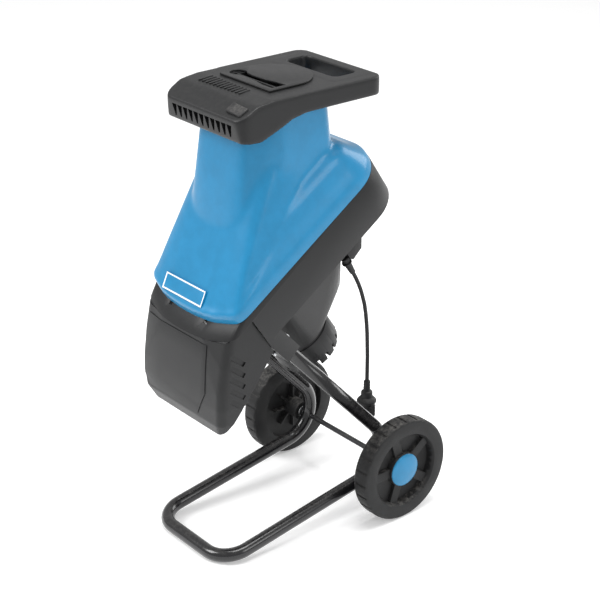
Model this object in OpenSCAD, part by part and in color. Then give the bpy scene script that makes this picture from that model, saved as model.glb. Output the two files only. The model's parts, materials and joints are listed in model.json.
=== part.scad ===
// Electric garden chipper: a tilted cutter housing with a hinged feed hopper,
// a discharge chute in front and a bent tube chassis on two wheels.
// +Y points to the rear, +Z up; the origin is under the middle, on the ground.

/* [Wheels and axle] */
// Outer diameter of each wheel
wheel_d = 200; // [150:1:250]
// Width of each wheel across the tread
wheel_w = 35; // [30:1:45]
// Inner face of a wheel to the middle plane
wheel_inner = 146; // [142:1:180]
// Diameter of the steel axle
axle_d = 10; // [8:0.5:14]

/* [Chassis tube] */
// Outside diameter of the tube
tube_d = 25; // [20:1:30]
// Wall of the tube
tube_wall = 1.6; // [1.2:0.1:2.5]
// Front cross tube to the axle, along the ground
front_reach = 365; // [310:5:440]
// Centreline radius of the two front corners
corner_r = 50; // [40:1:58]
// Centreline radius of the two bends at the axle
heel_r = 63; // [55:1:75]
// Angle of the legs above the ground
leg_angle = 46.9; // [42:0.5:50]
// Length of a leg above its bend
leg_len = 355; // [350:1:360]

/* [Cutter housing] */
// Full width of the housing
body_w = 248; // [240:2:300]
// Depth of the housing under the hopper joint
body_h = 88; // [84:1:100]
// Tilt of the joint plane between housing and hopper
body_tilt = 34; // [30:1:36]
// Height of the joint plane's reference point over the axle
body_rise = 483; // [475:1:495]
// Wall of the moulded shells
wall = 3; // [2.4:0.2:3.6]

/* [Cutting gear] */
// Diameter of the blade disc
disc_d = 200; // [164:2:206]
// Thickness of the blade disc
disc_t = 6; // [4:0.5:8]
// Diameter of the main spindle
spindle_d = 17; // [14:0.5:20]
// Gear module
gear_m = 1.5; // [1.3:0.1:1.6]
// Teeth of the motor pinion
pinion_teeth = 12; // [11:1:14]
// Teeth of the driven gear
gear_teeth = 68; // [60:1:70]
// Diameter of the armature stack
armature_d = 54; // [45:1:60]

/* [Hopper] */
// Height of the hopper's top panel over the axle
top_rise = 742; // [735:1:755]
// Thickness of the top panel at its sides
top_t = 33; // [30:1:40]
// Half width of the top panel at the rear
top_half = 111; // [105:1:116]
// Lean of the feed chute from upright
feed_lean = 12; // [8:1:14]
// Inside width of the feed chute
feed_w = 116; // [100:1:120]
// Inside depth of the feed chute
feed_t = 52; // [44:1:54]
// Travel of the plunger out of the chute
plunger_travel = 240; // [100:10:260]

/* [Cord] */
// Diameter of the power cord
cord_d = 7.5; // [6:0.5:9]

/* [Hidden] */
$fn = 48;

// clearances
gap = 0.3;          // between parts that move past each other
run = 0.05;         // radial, shaft in bearing or bore
seat = 0.02;        // radial, tight seat inside one body

// chassis
wheel_r = wheel_d / 2;
tube_r = tube_d / 2;
axle_r = axle_d / 2;
half_w = body_w / 2;
leg_x = half_w - 21;
axle_y = (front_reach + tube_r - wheel_r) / 2;
heel_turn = 22.2;
heel_y = -heel_r * cos(heel_turn);
heel_z = heel_r * sin(heel_turn);
foot_dy = front_reach + heel_y;
foot_dz = wheel_r + heel_z - tube_r;
foot_slope = atan2(foot_dz, foot_dy) - asin(heel_r / norm([foot_dy, foot_dz]));
foot_len = sqrt(foot_dy * foot_dy + foot_dz * foot_dz - heel_r * heel_r);
bolt_r = 3;
bolt_back = 30;
hub_r = 19;
hub_in = 27;
cap_r = 32;

// housing, measured in its own tilted frame: X across, Y up the slope, Z out of it
rear_v = 218;
front_v = -195;
chute_v = -150;
band_out = 28;
skirt = 12;
rim_top = -skirt - gap;
band_h = 27;
rim_in = wall + 1.6;
spin_v = 5;
motor_v = spin_v - gear_m * (pinion_teeth + gear_teeth) / 2;
disc_r = disc_d / 2;
disc_top = -10;
disc_low = disc_top - disc_t;
chamber_r = disc_r + 8;
floor_top = -50;
floor_low = floor_top - wall;
spindle_r = spindle_d / 2;
spindle_end = -101;
plate_t = 6;
plate_low = floor_low - gap - plate_t;
gear_low = -82;
gear_t = 14;
pinion_low = -84;
shaft_r = 5;
shaft_end = -268;
case_low = -107;
case_r = gear_m * (gear_teeth + 2) / 2 + 2.5;
stack_low = -205;
stack_h = 60;
arm_r = armature_d / 2;
stator_r = arm_r + 19;
cover_low = -228;
grille_low = -287;
grille_r = 61;
motor_r = 71;
box_v = 80;
box_x = 75;
panel_y = -25;
panel_h = 76;
hinge_v = -200;
hinge_w = -31;
hinge_x = 50;
lock_v = 178;
screw_r = 4;
insert_r = 8;
knob_r = 22;
peg_x = 60;
top_y = -178;
ram_w = feed_w - 8;
ram_t = feed_t - 8;

// ---- frames ----
module at_axle() translate([0, axle_y, wheel_r]) children();
module at_body() at_axle() translate([0, -200, body_rise]) rotate([body_tilt, 0, 0]) children();
module at_feed() at_axle() translate([0, top_y, top_rise - 4]) rotate([-feed_lean, 0, 0]) children();
module mirrored(side) mirror([side < 0 ? 1 : 0, 0, 0]) children();
module along_x(r, x0, x1) translate([x0, 0, 0]) rotate([0, 90, 0]) cylinder(r = r, h = x1 - x0);
module drum(r, z0, z1) translate([0, 0, z0]) cylinder(r = r, h = z1 - z0);

// ---- outlines ----
function arc(cx, cy, r, a0, a1, n) =
    [for (i = [0:n]) [cx + r * cos(a0 + (a1 - a0) * i / n), cy + r * sin(a0 + (a1 - a0) * i / n)]];
// housing outline, inset by t, its front moved out by f
function outline(t, f = 0) = let(w = half_w, rr = 72, rc = 22, fr = front_v - f) concat(
    arc(w - rr, rear_v - rr, rr - t, 0, 90, 12),
    arc(rr - w, rear_v - rr, rr - t, 90, 180, 12),
    arc(rc - w, fr + 18 + rc, rc - t, 180, 258, 6),
    [for (i = [-3:3]) let(x = i * (w - 28) / 4) [x, fr + t + 18 * pow(x / w, 2)]],
    arc(w - rc, fr + 18 + rc, rc - t, 282, 360, 6));
function block(x, y0, y1, r) = concat(arc(x - r, y1 - r, r, 0, 90, 6), arc(r - x, y1 - r, r, 90, 180, 6),
    arc(r - x, y0 + r, r, 180, 270, 6), arc(x - r, y0 + r, r, 270, 360, 6));
module slab(z, points, h = 0.5) translate([0, 0, z]) linear_extrude(h) polygon(points);

// ---- chassis ----
module tube_ring() difference() {
    circle(tube_r);
    circle(tube_r - tube_wall);
}
module foot_frame() at_axle() translate([0, -front_reach, tube_r - wheel_r]) rotate([foot_slope, 0, 0]) children();
module heel_frame(side) at_axle() translate([side * leg_x, heel_y, heel_z]) rotate([90, 0, 90]) children();
module leg_axis(side) heel_frame(side) rotate([0, 0, 90 - leg_angle]) translate([heel_r, 0, 0]) rotate([-90, 0, 0]) children();

module chassis_tube() color([0.07, 0.07, 0.08]) difference() {
    union() {
        foot_frame() translate([-(leg_x - corner_r), 0, 0]) rotate([0, 90, 0])
            linear_extrude(2 * (leg_x - corner_r)) tube_ring();
        foot_frame() for (side = [-1, 1]) translate([side * (leg_x - corner_r), corner_r, 0])
            rotate([0, 0, side > 0 ? -90 : 180]) rotate_extrude(angle = 90) translate([corner_r, 0]) tube_ring();
        foot_frame() for (side = [-1, 1]) translate([side * leg_x, corner_r, 0]) rotate([-90, 0, 0])
            linear_extrude(foot_len - corner_r) tube_ring();
        for (side = [-1, 1]) heel_frame(side) rotate([0, 0, foot_slope - 90])
            rotate_extrude(angle = 180 - leg_angle - foot_slope) translate([heel_r, 0]) tube_ring();
        for (side = [-1, 1]) leg_axis(side) linear_extrude(leg_len) tube_ring();
    }
    at_axle() along_x(axle_r + run, -leg_x - tube_d, leg_x + tube_d);
    for (side = [-1, 1]) leg_axis(side) translate([0, 0, leg_len - bolt_back])
        along_x(bolt_r + run, -tube_d, tube_d);
}

axle_half = wheel_inner + wheel_w - 9;
module axle() color("silver") at_axle() along_x(axle_r, -axle_half, axle_half);
module axle_washers() color([0.75, 0.76, 0.78]) at_axle() for (side = [-1, 1]) mirrored(side)
    difference() {
        along_x(axle_r + 7, leg_x + tube_r + 0.2, leg_x + tube_r + 2.2);
        along_x(axle_r + run, 0, wheel_inner);
    }
module axle_caps() color("silver") at_axle() for (side = [-1, 1]) mirrored(side) difference() {
    along_x(axle_r + 3.5, axle_half - 4, axle_half + 1);
    along_x(axle_r + seat, axle_half - 6, axle_half);
}

// wheel at +X: tread ring, dished web with spokes outside and star ribs inside, long inner hub
spoke_r = wheel_r * 0.71;
module wheel() difference() {
    union() {
        difference() {
            rotate([0, 90, 0]) rotate_extrude() polygon(concat(
                [[spoke_r - 1, 0]], [[wheel_r - 6, 0]], arc(wheel_r - 6, 6, 6, -60, 0, 3),
                arc(wheel_r - 6, wheel_w - 6, 6, 0, 60, 3), [[wheel_r - 6, wheel_w]],
                [[spoke_r + 2, wheel_w]], [[spoke_r - 2, wheel_w - 7]], [[spoke_r - 3, 14]]));
            for (i = [0:23]) rotate([i * 15, 0, 0]) translate([-1, -2.5, wheel_r - 1.6])
                cube([wheel_w + 2, 5, 4]);
        }
        along_x(spoke_r, 13, 18);
        for (i = [0:4]) rotate([i * 72 + 18, 0, 0]) translate([14, -9, hub_r - 2])
            cube([wheel_w - 23, 18, spoke_r - hub_r + 3]);
        along_x(cap_r + 1.5, 14, wheel_w - 4);
        along_x(hub_r, -hub_in, 16);
        for (i = [0:7]) rotate([i * 45, 0, 0]) translate([2, -1.5, hub_r - 2]) cube([13, 3, 28]);
    }
    along_x(axle_r + run, -hub_in - 1, wheel_w);
    along_x(axle_r + 5, wheel_w - 14, wheel_w);
}
module wheel_left() color([0.1, 0.1, 0.11]) at_axle() mirror([1, 0, 0]) translate([wheel_inner, 0, 0]) wheel();
module wheel_right() color([0.1, 0.1, 0.11]) at_axle() translate([wheel_inner, 0, 0]) wheel();
module hub_cap() {
    translate([wheel_w - 4 + 0.05, 0, 0]) intersection() {
        translate([-84, 0, 0]) rotate([0, 90, 0]) sphere(r = 90.4, $fn = 96);
        along_x(cap_r, 0, 20);
    }
    difference() {
        along_x(axle_r + 4.9, wheel_w - 5, wheel_w - 3.9);
        along_x(axle_r + 3.9, wheel_w - 6, wheel_w - 3.95);
    }
}
module hub_cap_left() color([0.1, 0.5, 0.85]) at_axle() mirror([1, 0, 0]) translate([wheel_inner, 0, 0]) hub_cap();
module hub_cap_right() color([0.1, 0.5, 0.85]) at_axle() translate([wheel_inner, 0, 0]) hub_cap();

module at_bolt(side) leg_axis(side) translate([0, 0, leg_len - bolt_back]) children();
module frame_bolts() color("silver") for (side = [-1, 1]) at_bolt(side) mirrored(side) {
    along_x(bolt_r, -19.5, 17.1);
    along_x(bolt_r + 2.5, 17.05, 20.5);
}
module frame_nuts() color("silver") for (side = [-1, 1]) at_bolt(side) mirrored(side) difference() {
    translate([-22.5, 0, 0]) rotate([0, 90, 0]) cylinder(r = bolt_r + 2.8, h = 5.4, $fn = 6);
    along_x(bolt_r + seat, -19.6, 0);
    along_x(bolt_r + seat, -23, -17);
}

// ---- housing ----
module floor_plan() {
    circle(r = chamber_r);
    translate([-(chamber_r - 22), chute_v - spin_v]) square([2 * (chamber_r - 22), -chute_v + spin_v - 60]);
}
module base_housing() color([0.12, 0.12, 0.13]) difference() {
    union() {
        // side and rear walls with the closed bottom, and the rim inside the cover's skirt
        at_body() difference() {
            union() {
                translate([0, 0, -body_h]) linear_extrude(body_h + rim_top) polygon(outline(0));
                translate([0, 0, -body_h]) linear_extrude(body_h - gap) polygon(outline(rim_in));
            }
            translate([0, 0, wall - body_h]) linear_extrude(body_h - skirt - 12) polygon(outline(wall));
            translate([0, 0, wall - body_h]) linear_extrude(body_h) polygon(outline(2 * wall));
            translate([-half_w, -400, -body_h - 1]) cube([body_w, 400 + chute_v, body_h + 1 - band_h]);
        }
        // front band that widens under the hopper's edge
        at_body() difference() {
            hull() {
                slab(rim_top - 0.5, outline(0));
                slab(-band_h, outline(0, band_out));
            }
            hull() {
                slab(rim_top, outline(wall + 0.5));
                slab(-band_h - 1, outline(wall + 0.5, band_out));
            }
            translate([-half_w - 1, chute_v, -body_h]) cube([body_w + 2, 600, body_h + 1]);
        }
        // front wall under the chamber floor
        at_body() translate([1 - half_w, chute_v, -body_h]) cube([body_w - 2, wall, body_h + floor_top]);
        // round chamber, its floor and the lead to the chute
        at_body() translate([0, spin_v, -body_h]) difference() {
            cylinder(r = chamber_r + wall, h = body_h - 3);
            translate([0, 0, -1]) cylinder(r = chamber_r, h = body_h + 2);
            translate([-(chamber_r - 25), -chamber_r - 20, body_h + floor_top]) cube([2 * (chamber_r - 25), chamber_r, 60]);
        }
        at_body() translate([0, spin_v, floor_low]) linear_extrude(wall) floor_plan();
        // lock post
        at_body() translate([0, lock_v, -body_h]) cylinder(r = 14, h = body_h - 4);
        // sockets for the legs
        for (side = [-1, 1]) at_leg_socket(side);
        // hinge ears
        at_body() for (x = [-hinge_x - 9, -hinge_x + 5, hinge_x - 9, hinge_x + 5])
            translate([x, hinge_v, hinge_w]) hinge_ear();
        // shelf for the safety switch
        at_body() translate([0, 0, -44]) linear_extrude(wall) intersection() {
            polygon(outline(1));
            translate([peg_x - 16, lock_v - 12]) square([32, 80]);
        }
    }
    for (side = [-1, 1]) leg_axis(side) translate([0, 0, leg_len - 70]) cylinder(r = tube_r + seat * 5, h = 71);
    for (side = [-1, 1]) at_bolt(side) {
        along_x(bolt_r + run, -30, 30);
        mirrored(side) along_x(bolt_r + 3.4, 17, 40);
        mirrored(side) along_x(bolt_r + 3.6, -40, -17);
    }
    // spindle hole, gear case opening, lock screw hole, hinge pin holes
    at_body() translate([0, spin_v, 0]) drum(spindle_r + 14, -body_h - 1, floor_top + 1);
    at_body() case_room(gap * 2, -body_h - 1, floor_low - 0.01);
    at_body() translate([0, lock_v, 0]) drum(screw_r + run, -body_h - 1, 1);
    at_body() translate([0, hinge_v, hinge_w]) along_x(3 + seat, -hinge_x - 20, hinge_x + 20);
    // notches that let the hinge arms swing
    for (side = [-1, 1]) at_body() translate([side * hinge_x - 4, front_v - 2, -band_h - 12]) cube([8, 16, band_h + 12]);
}
module hinge_ear() rotate([90, 0, 90]) linear_extrude(4) difference() {
    polygon([[-5, -5], [5, -5], [5, 12], [-2, 12], [-13, 6], [-5, 0]]);
    circle(r = 3 + seat);
}
module at_leg_socket(side) intersection() {
    leg_axis(side) translate([-17, -18, leg_len - 55]) cube([34, 36, 130]);
    at_body() translate([side > 0 ? 20 : -half_w, chute_v, -body_h - 90]) cube([half_w - 20, 150, 91.5]);
}
module case_room(t, z0, z1) {
    translate([0, spin_v, 0]) drum(case_r + 3 + t, z0, z1);
    translate([0, motor_v, 0]) drum(stator_r - 8 + t, z0, z1);
}

// discharge chute: a bowed front wall and two sides, open below and behind
function chute_plan(x, y0, y1, bow) = [[x, y1], [x, y0], [x * 0.5, y0 - bow], [-x * 0.5, y0 - bow], [-x, y0], [-x, y1]];
module chute_form(t) hull() {
    at_axle() slab(385, chute_plan(half_w - 5 - t, -348 + t, -180, 8));
    at_axle() slab(336, chute_plan(half_w - 5 - t, -358 + t, -180, 10));
    at_axle() slab(300, chute_plan(half_w - 5 - t, -366.5 + t, -180, 6));
    at_axle() slab(252, chute_plan(half_w - 6 - t, -373.5 + t, -180, 3));
    at_axle() slab(222, chute_plan(half_w - 6 - t, -376.5 + t, -180, 0.8));
    at_axle() slab(190, chute_plan(half_w - 10 - t, -374.5 + t, -180, 1));
    at_axle() slab(163, chute_plan(half_w - 22 - t, -360 + t, -180, 2));
}
module discharge_chute() color([0.12, 0.12, 0.13]) difference() {
    chute_form(0);
    chute_form(wall);
    at_body() translate([-200, -600, -band_h - gap]) cube([400, 900, 300]);
    at_body() translate([-200, chute_v - gap, -300]) cube([400, 600, 400]);
    at_axle() translate([-200, -348, 186]) rotate([54, 0, 0]) translate([0, -300, -400]) cube([400, 900, 400]);
}

// motor cover: a tapering bell under the housing
module bell(t) hull() {
    at_body() slab(-body_h - gap - 0.5 + t * 0.2, block(100 - t, -98 + t, box_v - 0.5 - t, 22));
    at_body() slab(-185, concat(arc(0, spin_v - 2, motor_r - t, -10, 190, 14), arc(0, motor_v - 5, motor_r - t, 190, 350, 14)));
    at_body() slab(cover_low + (t > 0 ? -1 : 0), arc(0, motor_v, grille_r - 1 - t, 0, 360, 30));
}
module motor_cover() color([0.1, 0.1, 0.11]) difference() {
    bell(0);
    bell(wall);
    at_body() translate([0, 0, -body_h]) case_room(gap * 3, -20, 20);
}
module motor_end_grille() color([0.1, 0.1, 0.11]) at_body() translate([0, motor_v, 0]) difference() {
    union() {
        drum(grille_r - 2, grille_low, cover_low - gap);
        drum(grille_r, grille_low + 6, cover_low - gap - 4);
    }
    drum(grille_r - 5, grille_low + wall, cover_low + 1);
    for (i = [0:17]) rotate([0, 0, i * 20]) translate([grille_r - 14, -3, grille_low - 1]) cube([20, 6, 16]);
    for (i = [-3:3]) translate([i * 12 - 3, -40, grille_low - 1]) cube([6, 80, wall + 2]);
}

// switch box: an upright rear panel under the housing
panel_v = (panel_y + 200) / cos(body_tilt) - body_h * tan(body_tilt);
function box_side(t) = let(dv = sin(body_tilt), dw = cos(body_tilt), v1 = panel_v) [
    [box_v + t, -body_h - gap - t], [v1 - t * 1.7, -body_h - gap - t],
    [v1 - dv * panel_h - t * 0.7, -body_h - dw * panel_h + t * 0.9],
    [box_v + 4 + t * 0.5, -body_h - dw * panel_h - 4 + t], [box_v + t, -body_h - dw * panel_h + 2 + t]];
module across(x0, x1, points) translate([x0, 0, 0]) rotate([90, 0, 90]) linear_extrude(x1 - x0) polygon(points);
module at_panel(x, z) at_axle() translate([x, panel_y, z]) rotate([-90, 0, 0]) children();
button_z = body_rise - 32;
module switch_box() color([0.1, 0.1, 0.11]) difference() {
    at_body() across(-box_x, box_x, box_side(0));
    at_body() across(wall - box_x, box_x - wall, box_side(wall));
    at_panel(-14, button_z) translate([-9 - gap, -7 - gap, -20]) cube([18 + 2 * gap, 14 + 2 * gap, 40]);
    at_panel(14, button_z) translate([-9 - gap, -7 - gap, -20]) cube([18 + 2 * gap, 14 + 2 * gap, 40]);
    at_panel(48, button_z) drum(6 + gap, -20, 40);
    at_axle() gland_place() drum(7 + seat, -20, 14);
}
module button_shape() translate([-9, -7, -9]) cube([18, 14, 12]);
module button_on() color([0.1, 0.6, 0.2]) at_panel(-14, button_z) button_shape();
module button_off() color([0.8, 0.1, 0.1]) at_panel(14, button_z) button_shape();
module reset_button() color([0.6, 0.05, 0.05]) at_panel(48, button_z) drum(6, -9, 3);
module switch_module() color([0.2, 0.2, 0.22]) at_panel(0, button_z) {
    translate([-30, -12, -34]) cube([60, 24, 20]);
    for (x = [-30, 26.5]) translate([x, -12, -15]) cube([3.5, 24, 15 - wall - gap]);
    translate([40, -10, -30]) cube([16, 20, 16]);
    for (y = [-10, 7.5]) translate([40, y, -15]) cube([16, 2.5, 15 - wall - gap]);
}
cord_x = 60;
gland_y = -47;
gland_z = 393;
module gland_place() translate([cord_x, gland_y, gland_z]) rotate([32, 0, 0]) mirror([0, 0, 1]) children();
module cable_gland() color([0.08, 0.08, 0.08]) at_axle() gland_place() difference() {
    union() {
        drum(7, -10, 0);
        drum(9.5, 0.05, 3);
        translate([0, 0, 3]) cylinder(r1 = 7, r2 = 5.2, h = 26);
    }
    drum(cord_d / 2 + seat, -12, 40);
}

// ---- cord and plug ----
// route of the cord in its own upright plane, [to the rear, above the axle]
CORD = [[-52.3, 401.5], [-47, 393], [-39, 380.2], [-31, 367.4], [-24.5, 356], [-18, 343], [-12, 329], [-7, 314],
    [-2, 297], [1.5, 278], [4, 258], [6, 236], [7, 212], [8, 188], [8, 164], [8, 150], [8, 136]];
cord_sides = 10;
function cord_dir(i) = let(a = CORD[max(i - 1, 0)], b = CORD[min(i + 1, len(CORD) - 1)]) atan2(b[1] - a[1], b[0] - a[0]);
function cord_ring(i) = let(t = cord_dir(i), p = CORD[i]) [for (k = [0:cord_sides - 1]) let(a = k * 360 / cord_sides)
    [cord_x + cord_d / 2 * cos(a), p[0] - cord_d / 2 * sin(a) * sin(t), p[1] + cord_d / 2 * sin(a) * cos(t)]];
module power_cord() color([0.05, 0.05, 0.05]) at_axle() polyhedron(
    points = [for (i = [0:len(CORD) - 1]) each cord_ring(i)],
    faces = concat([[for (k = [0:cord_sides - 1]) k]],
        [for (i = [0:len(CORD) - 2]) for (k = [0:cord_sides - 1]) let(n = (k + 1) % cord_sides, a = i * cord_sides)
            [a + k, a + cord_sides + k, a + cord_sides + n, a + n]],
        [[for (k = [cord_sides - 1:-1:0]) (len(CORD) - 1) * cord_sides + k]]));
module at_plug() at_axle() translate([cord_x, 8, 136]) mirror([0, 0, 1]) children();
module plug_body() color([0.05, 0.05, 0.05]) at_plug() difference() {
    union() {
        translate([0, 0, 0.05]) cylinder(r1 = 6, r2 = 7, h = 21);
        drum(11, 20.5, 36);
        translate([0, 0, 34]) cylinder(r1 = 14, r2 = 18.5, h = 5);
        drum(18.5, 38.9, 43);
        drum(16, 42.9, 74);
    }
    for (side = [-1, 1]) translate([side * 9.5, 0, 0]) drum(2.4 + seat, 58, 75);
}
module plug_pins() color("gold") at_plug() for (side = [-1, 1]) translate([side * 9.5, 0, 0]) drum(2.4, 60, 93);

// ---- motor and gears, fixed parts ----
module at_spindle() at_body() translate([0, spin_v, 0]) children();
module at_motor() at_body() translate([0, motor_v, 0]) children();
module bearing_plate() color("silver") difference() {
    at_body() case_room(0, plate_low, floor_low - gap);
    at_spindle() drum(spindle_r + 11.5 + seat, plate_low - 1, floor_low);
    at_motor() drum(shaft_r + 4, plate_low - 1, floor_low);
    case_screw_places() drum(2.5 + seat, plate_low - 1, plate_low + 4);
}
screw_at = (case_r + 0.2) * sqrt(0.5);
module case_screw_places() at_spindle() for (x = [-1, 1]) for (v = [-1, 1]) translate([x * screw_at, v * screw_at, 0]) children();
module gear_case() color("silver") difference() {
    at_body() case_room(0, case_low, plate_low - gap / 3);
    at_body() case_room(-3, case_low + 4, plate_low + 1);
    at_spindle() drum(spindle_r + 7.5 + seat, case_low - 1, case_low + 12);
    at_motor() drum(13 + seat, case_low - 1, case_low + 12);
    case_screw_places() drum(2.5 + seat, case_low - 1, plate_low);
}
module gear_case_screws() color("silver") case_screw_places() {
    drum(2.5, case_low - 0.05, plate_low + 3.9);
    drum(4.5, case_low - 3, case_low - 0.04);
}
module bearing(ro, ri, z0, z1) difference() {
    drum(ro, z0, z1);
    drum(ri + run, z0 - 1, z1 + 1);
}
module spindle_bearings() color("silver") at_spindle() {
    bearing(spindle_r + 11.5, spindle_r, plate_low - 2, floor_low - gap - 1);
    bearing(spindle_r + 7.5, spindle_r, case_low + 1, case_low + 11);
}
module motor_bearings() color("silver") at_motor() {
    bearing(13, shaft_r, case_low + 1, case_low + 9);
    bearing(13, shaft_r, shaft_end + 2, shaft_end + 10);
}
module stator_core() color([0.45, 0.46, 0.5]) at_motor() difference() {
    drum(stator_r, stack_low, stack_low + stack_h);
    drum(arm_r + 0.8, stack_low - 1, stack_low + stack_h + 1);
    for (a = [0, 180]) rotate([0, 0, a]) translate([-11, arm_r - 5, stack_low - 1]) cube([22, 14, stack_h + 2]);
}
module stator_windings() color([0.72, 0.35, 0.12]) at_motor() for (z = [stack_low - 12, stack_low + stack_h + 0.2])
    for (a = [20, 200]) rotate([0, 0, a]) translate([0, 0, z])
        rotate_extrude(angle = 140) translate([arm_r + 2, 0]) square([14, 11.8]);
module brush_holders() color([0.15, 0.15, 0.15]) at_motor() for (a = [0, 180]) rotate([0, 0, a]) difference() {
    translate([17, -7, -236]) cube([stator_r - 12, 14, 13]);
    translate([16, -4 - seat, -233 - seat]) cube([30, 8 + 2 * seat, 7 + 2 * seat]);
}
module carbon_brushes() color([0.25, 0.25, 0.26]) at_motor() for (a = [0, 180]) rotate([0, 0, a])
    translate([14 + gap, -4, -233]) cube([22, 8, 7]);
module safety_switch() color([0.85, 0.35, 0.1]) at_body() translate([peg_x, lock_v, 0]) {
    translate([-10, -6, -44 + wall]) cube([20, 12, 16]);
    drum(2, -25.1, -22);
}
module hinge_pins() color("silver") at_body() translate([0, hinge_v, hinge_w]) for (side = [-1, 1]) mirrored(side)
    along_x(3, hinge_x - 9.5, hinge_x + 9.5);

// ---- rotating group on the spindle ----
module spindle() color("silver") at_spindle() {
    drum(spindle_r, spindle_end, disc_low - 12);
    drum(6, disc_low - 12.01, disc_top - 0.1);
}
module disc_flange() color("gray") at_spindle() difference() {
    drum(24, disc_low - 11.9, disc_low - 0.05);
    drum(6 + seat, disc_low - 13, 0);
}
module blade_place() for (a = [30, 210]) rotate([0, 0, a]) translate([57, 0, 0]) children();
module blade_disc() color([0.6, 0.62, 0.65]) at_spindle() difference() {
    drum(disc_r, disc_low, disc_top);
    drum(6 + seat, disc_low - 1, 0);
    blade_place() translate([-30, 14, disc_low - 1]) cube([60, 12, disc_t + 2]);
    blade_place() for (x = [-16, 16]) translate([x, 0, 0]) drum(3 + seat, disc_low - 1, 0);
}
module cutting_blades() color([0.75, 0.77, 0.8]) at_spindle() blade_place() difference() {
    translate([-31, -13, disc_top + 0.05]) cube([62, 28, 3.6]);
    translate([-32, 15, disc_top + 0.05]) rotate([-30, 0, 0]) translate([0, 0, -6]) cube([64, 10, 4]);
    for (x = [-16, 16]) translate([x, 0, 0]) drum(3 + seat, disc_top - 1, 0);
}
module blade_screws() color("silver") at_spindle() blade_place() for (x = [-16, 16]) translate([x, 0, 0]) {
    drum(3, disc_low - 3, disc_top + 3.7);
    drum(5, disc_top + 3.7, disc_top + 5.2);
}
module disc_bolt() color("silver") at_spindle() difference() {
    drum(11, disc_top + 0.05, disc_top + 8);
    translate([0, 0, disc_top + 3]) cylinder(r = 5, h = 6, $fn = 6);
}
module ejector_vanes() color([0.45, 0.46, 0.48]) at_spindle() for (a = [75, 165, 255, 345]) rotate([0, 0, a])
    translate([30, -1.5, floor_top + 4]) cube([disc_r - 34, 3, disc_low - floor_top - 4.05]);

// involute gear: teeth, module, addendum in modules
function involute(rb, r) = let(t = sqrt(max(r * r / rb / rb - 1, 0)) * 180 / PI) t - atan2(t * PI / 180, 1);
function flank(n, m, r) = let(rp = m * n / 2, rb = rp * cos(20))
    90 / n - 0.1 / rp * 57.3 + involute(rb, rp) - involute(rb, max(r, rb));
function tooth(n, m, add, a) = let(rp = m * n / 2, rf = rp - 1.15 * m, ra = rp + add * m, rs = [rf, rp - 0.5 * m, rp, ra])
    concat([for (r = rs) [r * cos(a - flank(n, m, r)), r * sin(a - flank(n, m, r))]],
        [for (i = [3:-1:0]) [rs[i] * cos(a + flank(n, m, rs[i])), rs[i] * sin(a + flank(n, m, rs[i]))]]);
module gear(n, add, phase, h) linear_extrude(h)
    polygon([for (i = [0:n - 1]) each tooth(n, gear_m, add, phase + i * 360 / n)]);
module driven_gear() color([0.5, 0.5, 0.52]) at_spindle() difference() {
    translate([0, 0, gear_low]) gear(gear_teeth, 0.65, 270, gear_t);
    drum(spindle_r + seat, gear_low - 1, gear_low + gear_t + 1);
    for (a = [0:60:300]) rotate([0, 0, a]) translate([spindle_r + 20, 0, 0]) drum(7, gear_low - 1, gear_low + gear_t + 1);
}

// ---- rotating group on the armature shaft ----
module armature_shaft() color("silver") at_motor() drum(shaft_r, shaft_end, plate_low + 1);
module motor_pinion() color([0.6, 0.6, 0.62]) at_motor() difference() {
    translate([0, 0, pinion_low]) gear(pinion_teeth, 0.85, 90 + 180 / pinion_teeth, gear_t + 4);
    drum(shaft_r + seat, pinion_low - 1, pinion_low + gear_t + 5);
}
module armature_core() color([0.4, 0.41, 0.44]) at_motor() difference() {
    drum(arm_r, stack_low, stack_low + stack_h);
    drum(shaft_r + seat, stack_low - 1, stack_low + stack_h + 1);
    for (a = [0:15:345]) rotate([0, 0, a]) translate([arm_r - 8, -1, stack_low - 1]) cube([9, 2, stack_h + 2]);
}
module armature_windings() color([0.75, 0.38, 0.15]) at_motor() for (z = [stack_low - 10.1, stack_low + stack_h + 0.1])
    difference() {
        drum(arm_r - 4, z, z + 10);
        drum(shaft_r + 2, z - 1, z + 11);
    }
module commutator() color([0.8, 0.5, 0.2]) at_motor() difference() {
    drum(14, -238, -219);
    drum(shaft_r + seat, -240, -217);
    for (a = [0:15:345]) rotate([0, 0, a]) translate([12.5, -0.4, -239]) cube([2, 0.8, 21]);
}
module cooling_fan() color([0.2, 0.2, 0.2]) at_motor() difference() {
    union() {
        drum(10, -128, -114);
        drum(arm_r + 14, -116, -114);
        for (a = [0:40:320]) rotate([0, 0, a]) translate([9, -1, -127]) cube([arm_r + 4, 2, 12]);
    }
    drum(shaft_r + seat, -130, -110);
}

// ---- hopper ----
neck_x = half_w - 34;
top_low = top_rise - top_t;
function neck_plan(x, y0, y1, cx, cy) = [[x - cx, y0], [x, y0 + cy], [x, y1 - 17], [x - 17, y1],
    [17 - x, y1], [-x, y1 - 17], [-x, y0 + cy], [cx - x, y0]];
module dome_mid(t) at_body() slab(34 - t, block(half_w - 11 - t, -95 + t, 196 - t, 46));
module dome(t) {
    hull() {
        at_body() slab(t > 0 ? -1 : 0, outline(0.4 + t));
        at_body() slab(8 - t, outline(1.6 + t));
        dome_mid(t);
    }
    hull() {
        dome_mid(t);
        at_body() slab(58 - t, block(half_w - 18 - t, -30 + t, 182 - t, 38));
        at_body() slab(86 - t, block(half_w - 38 - t, 20 + t, 150 - t, 30));
    }
}
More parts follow.
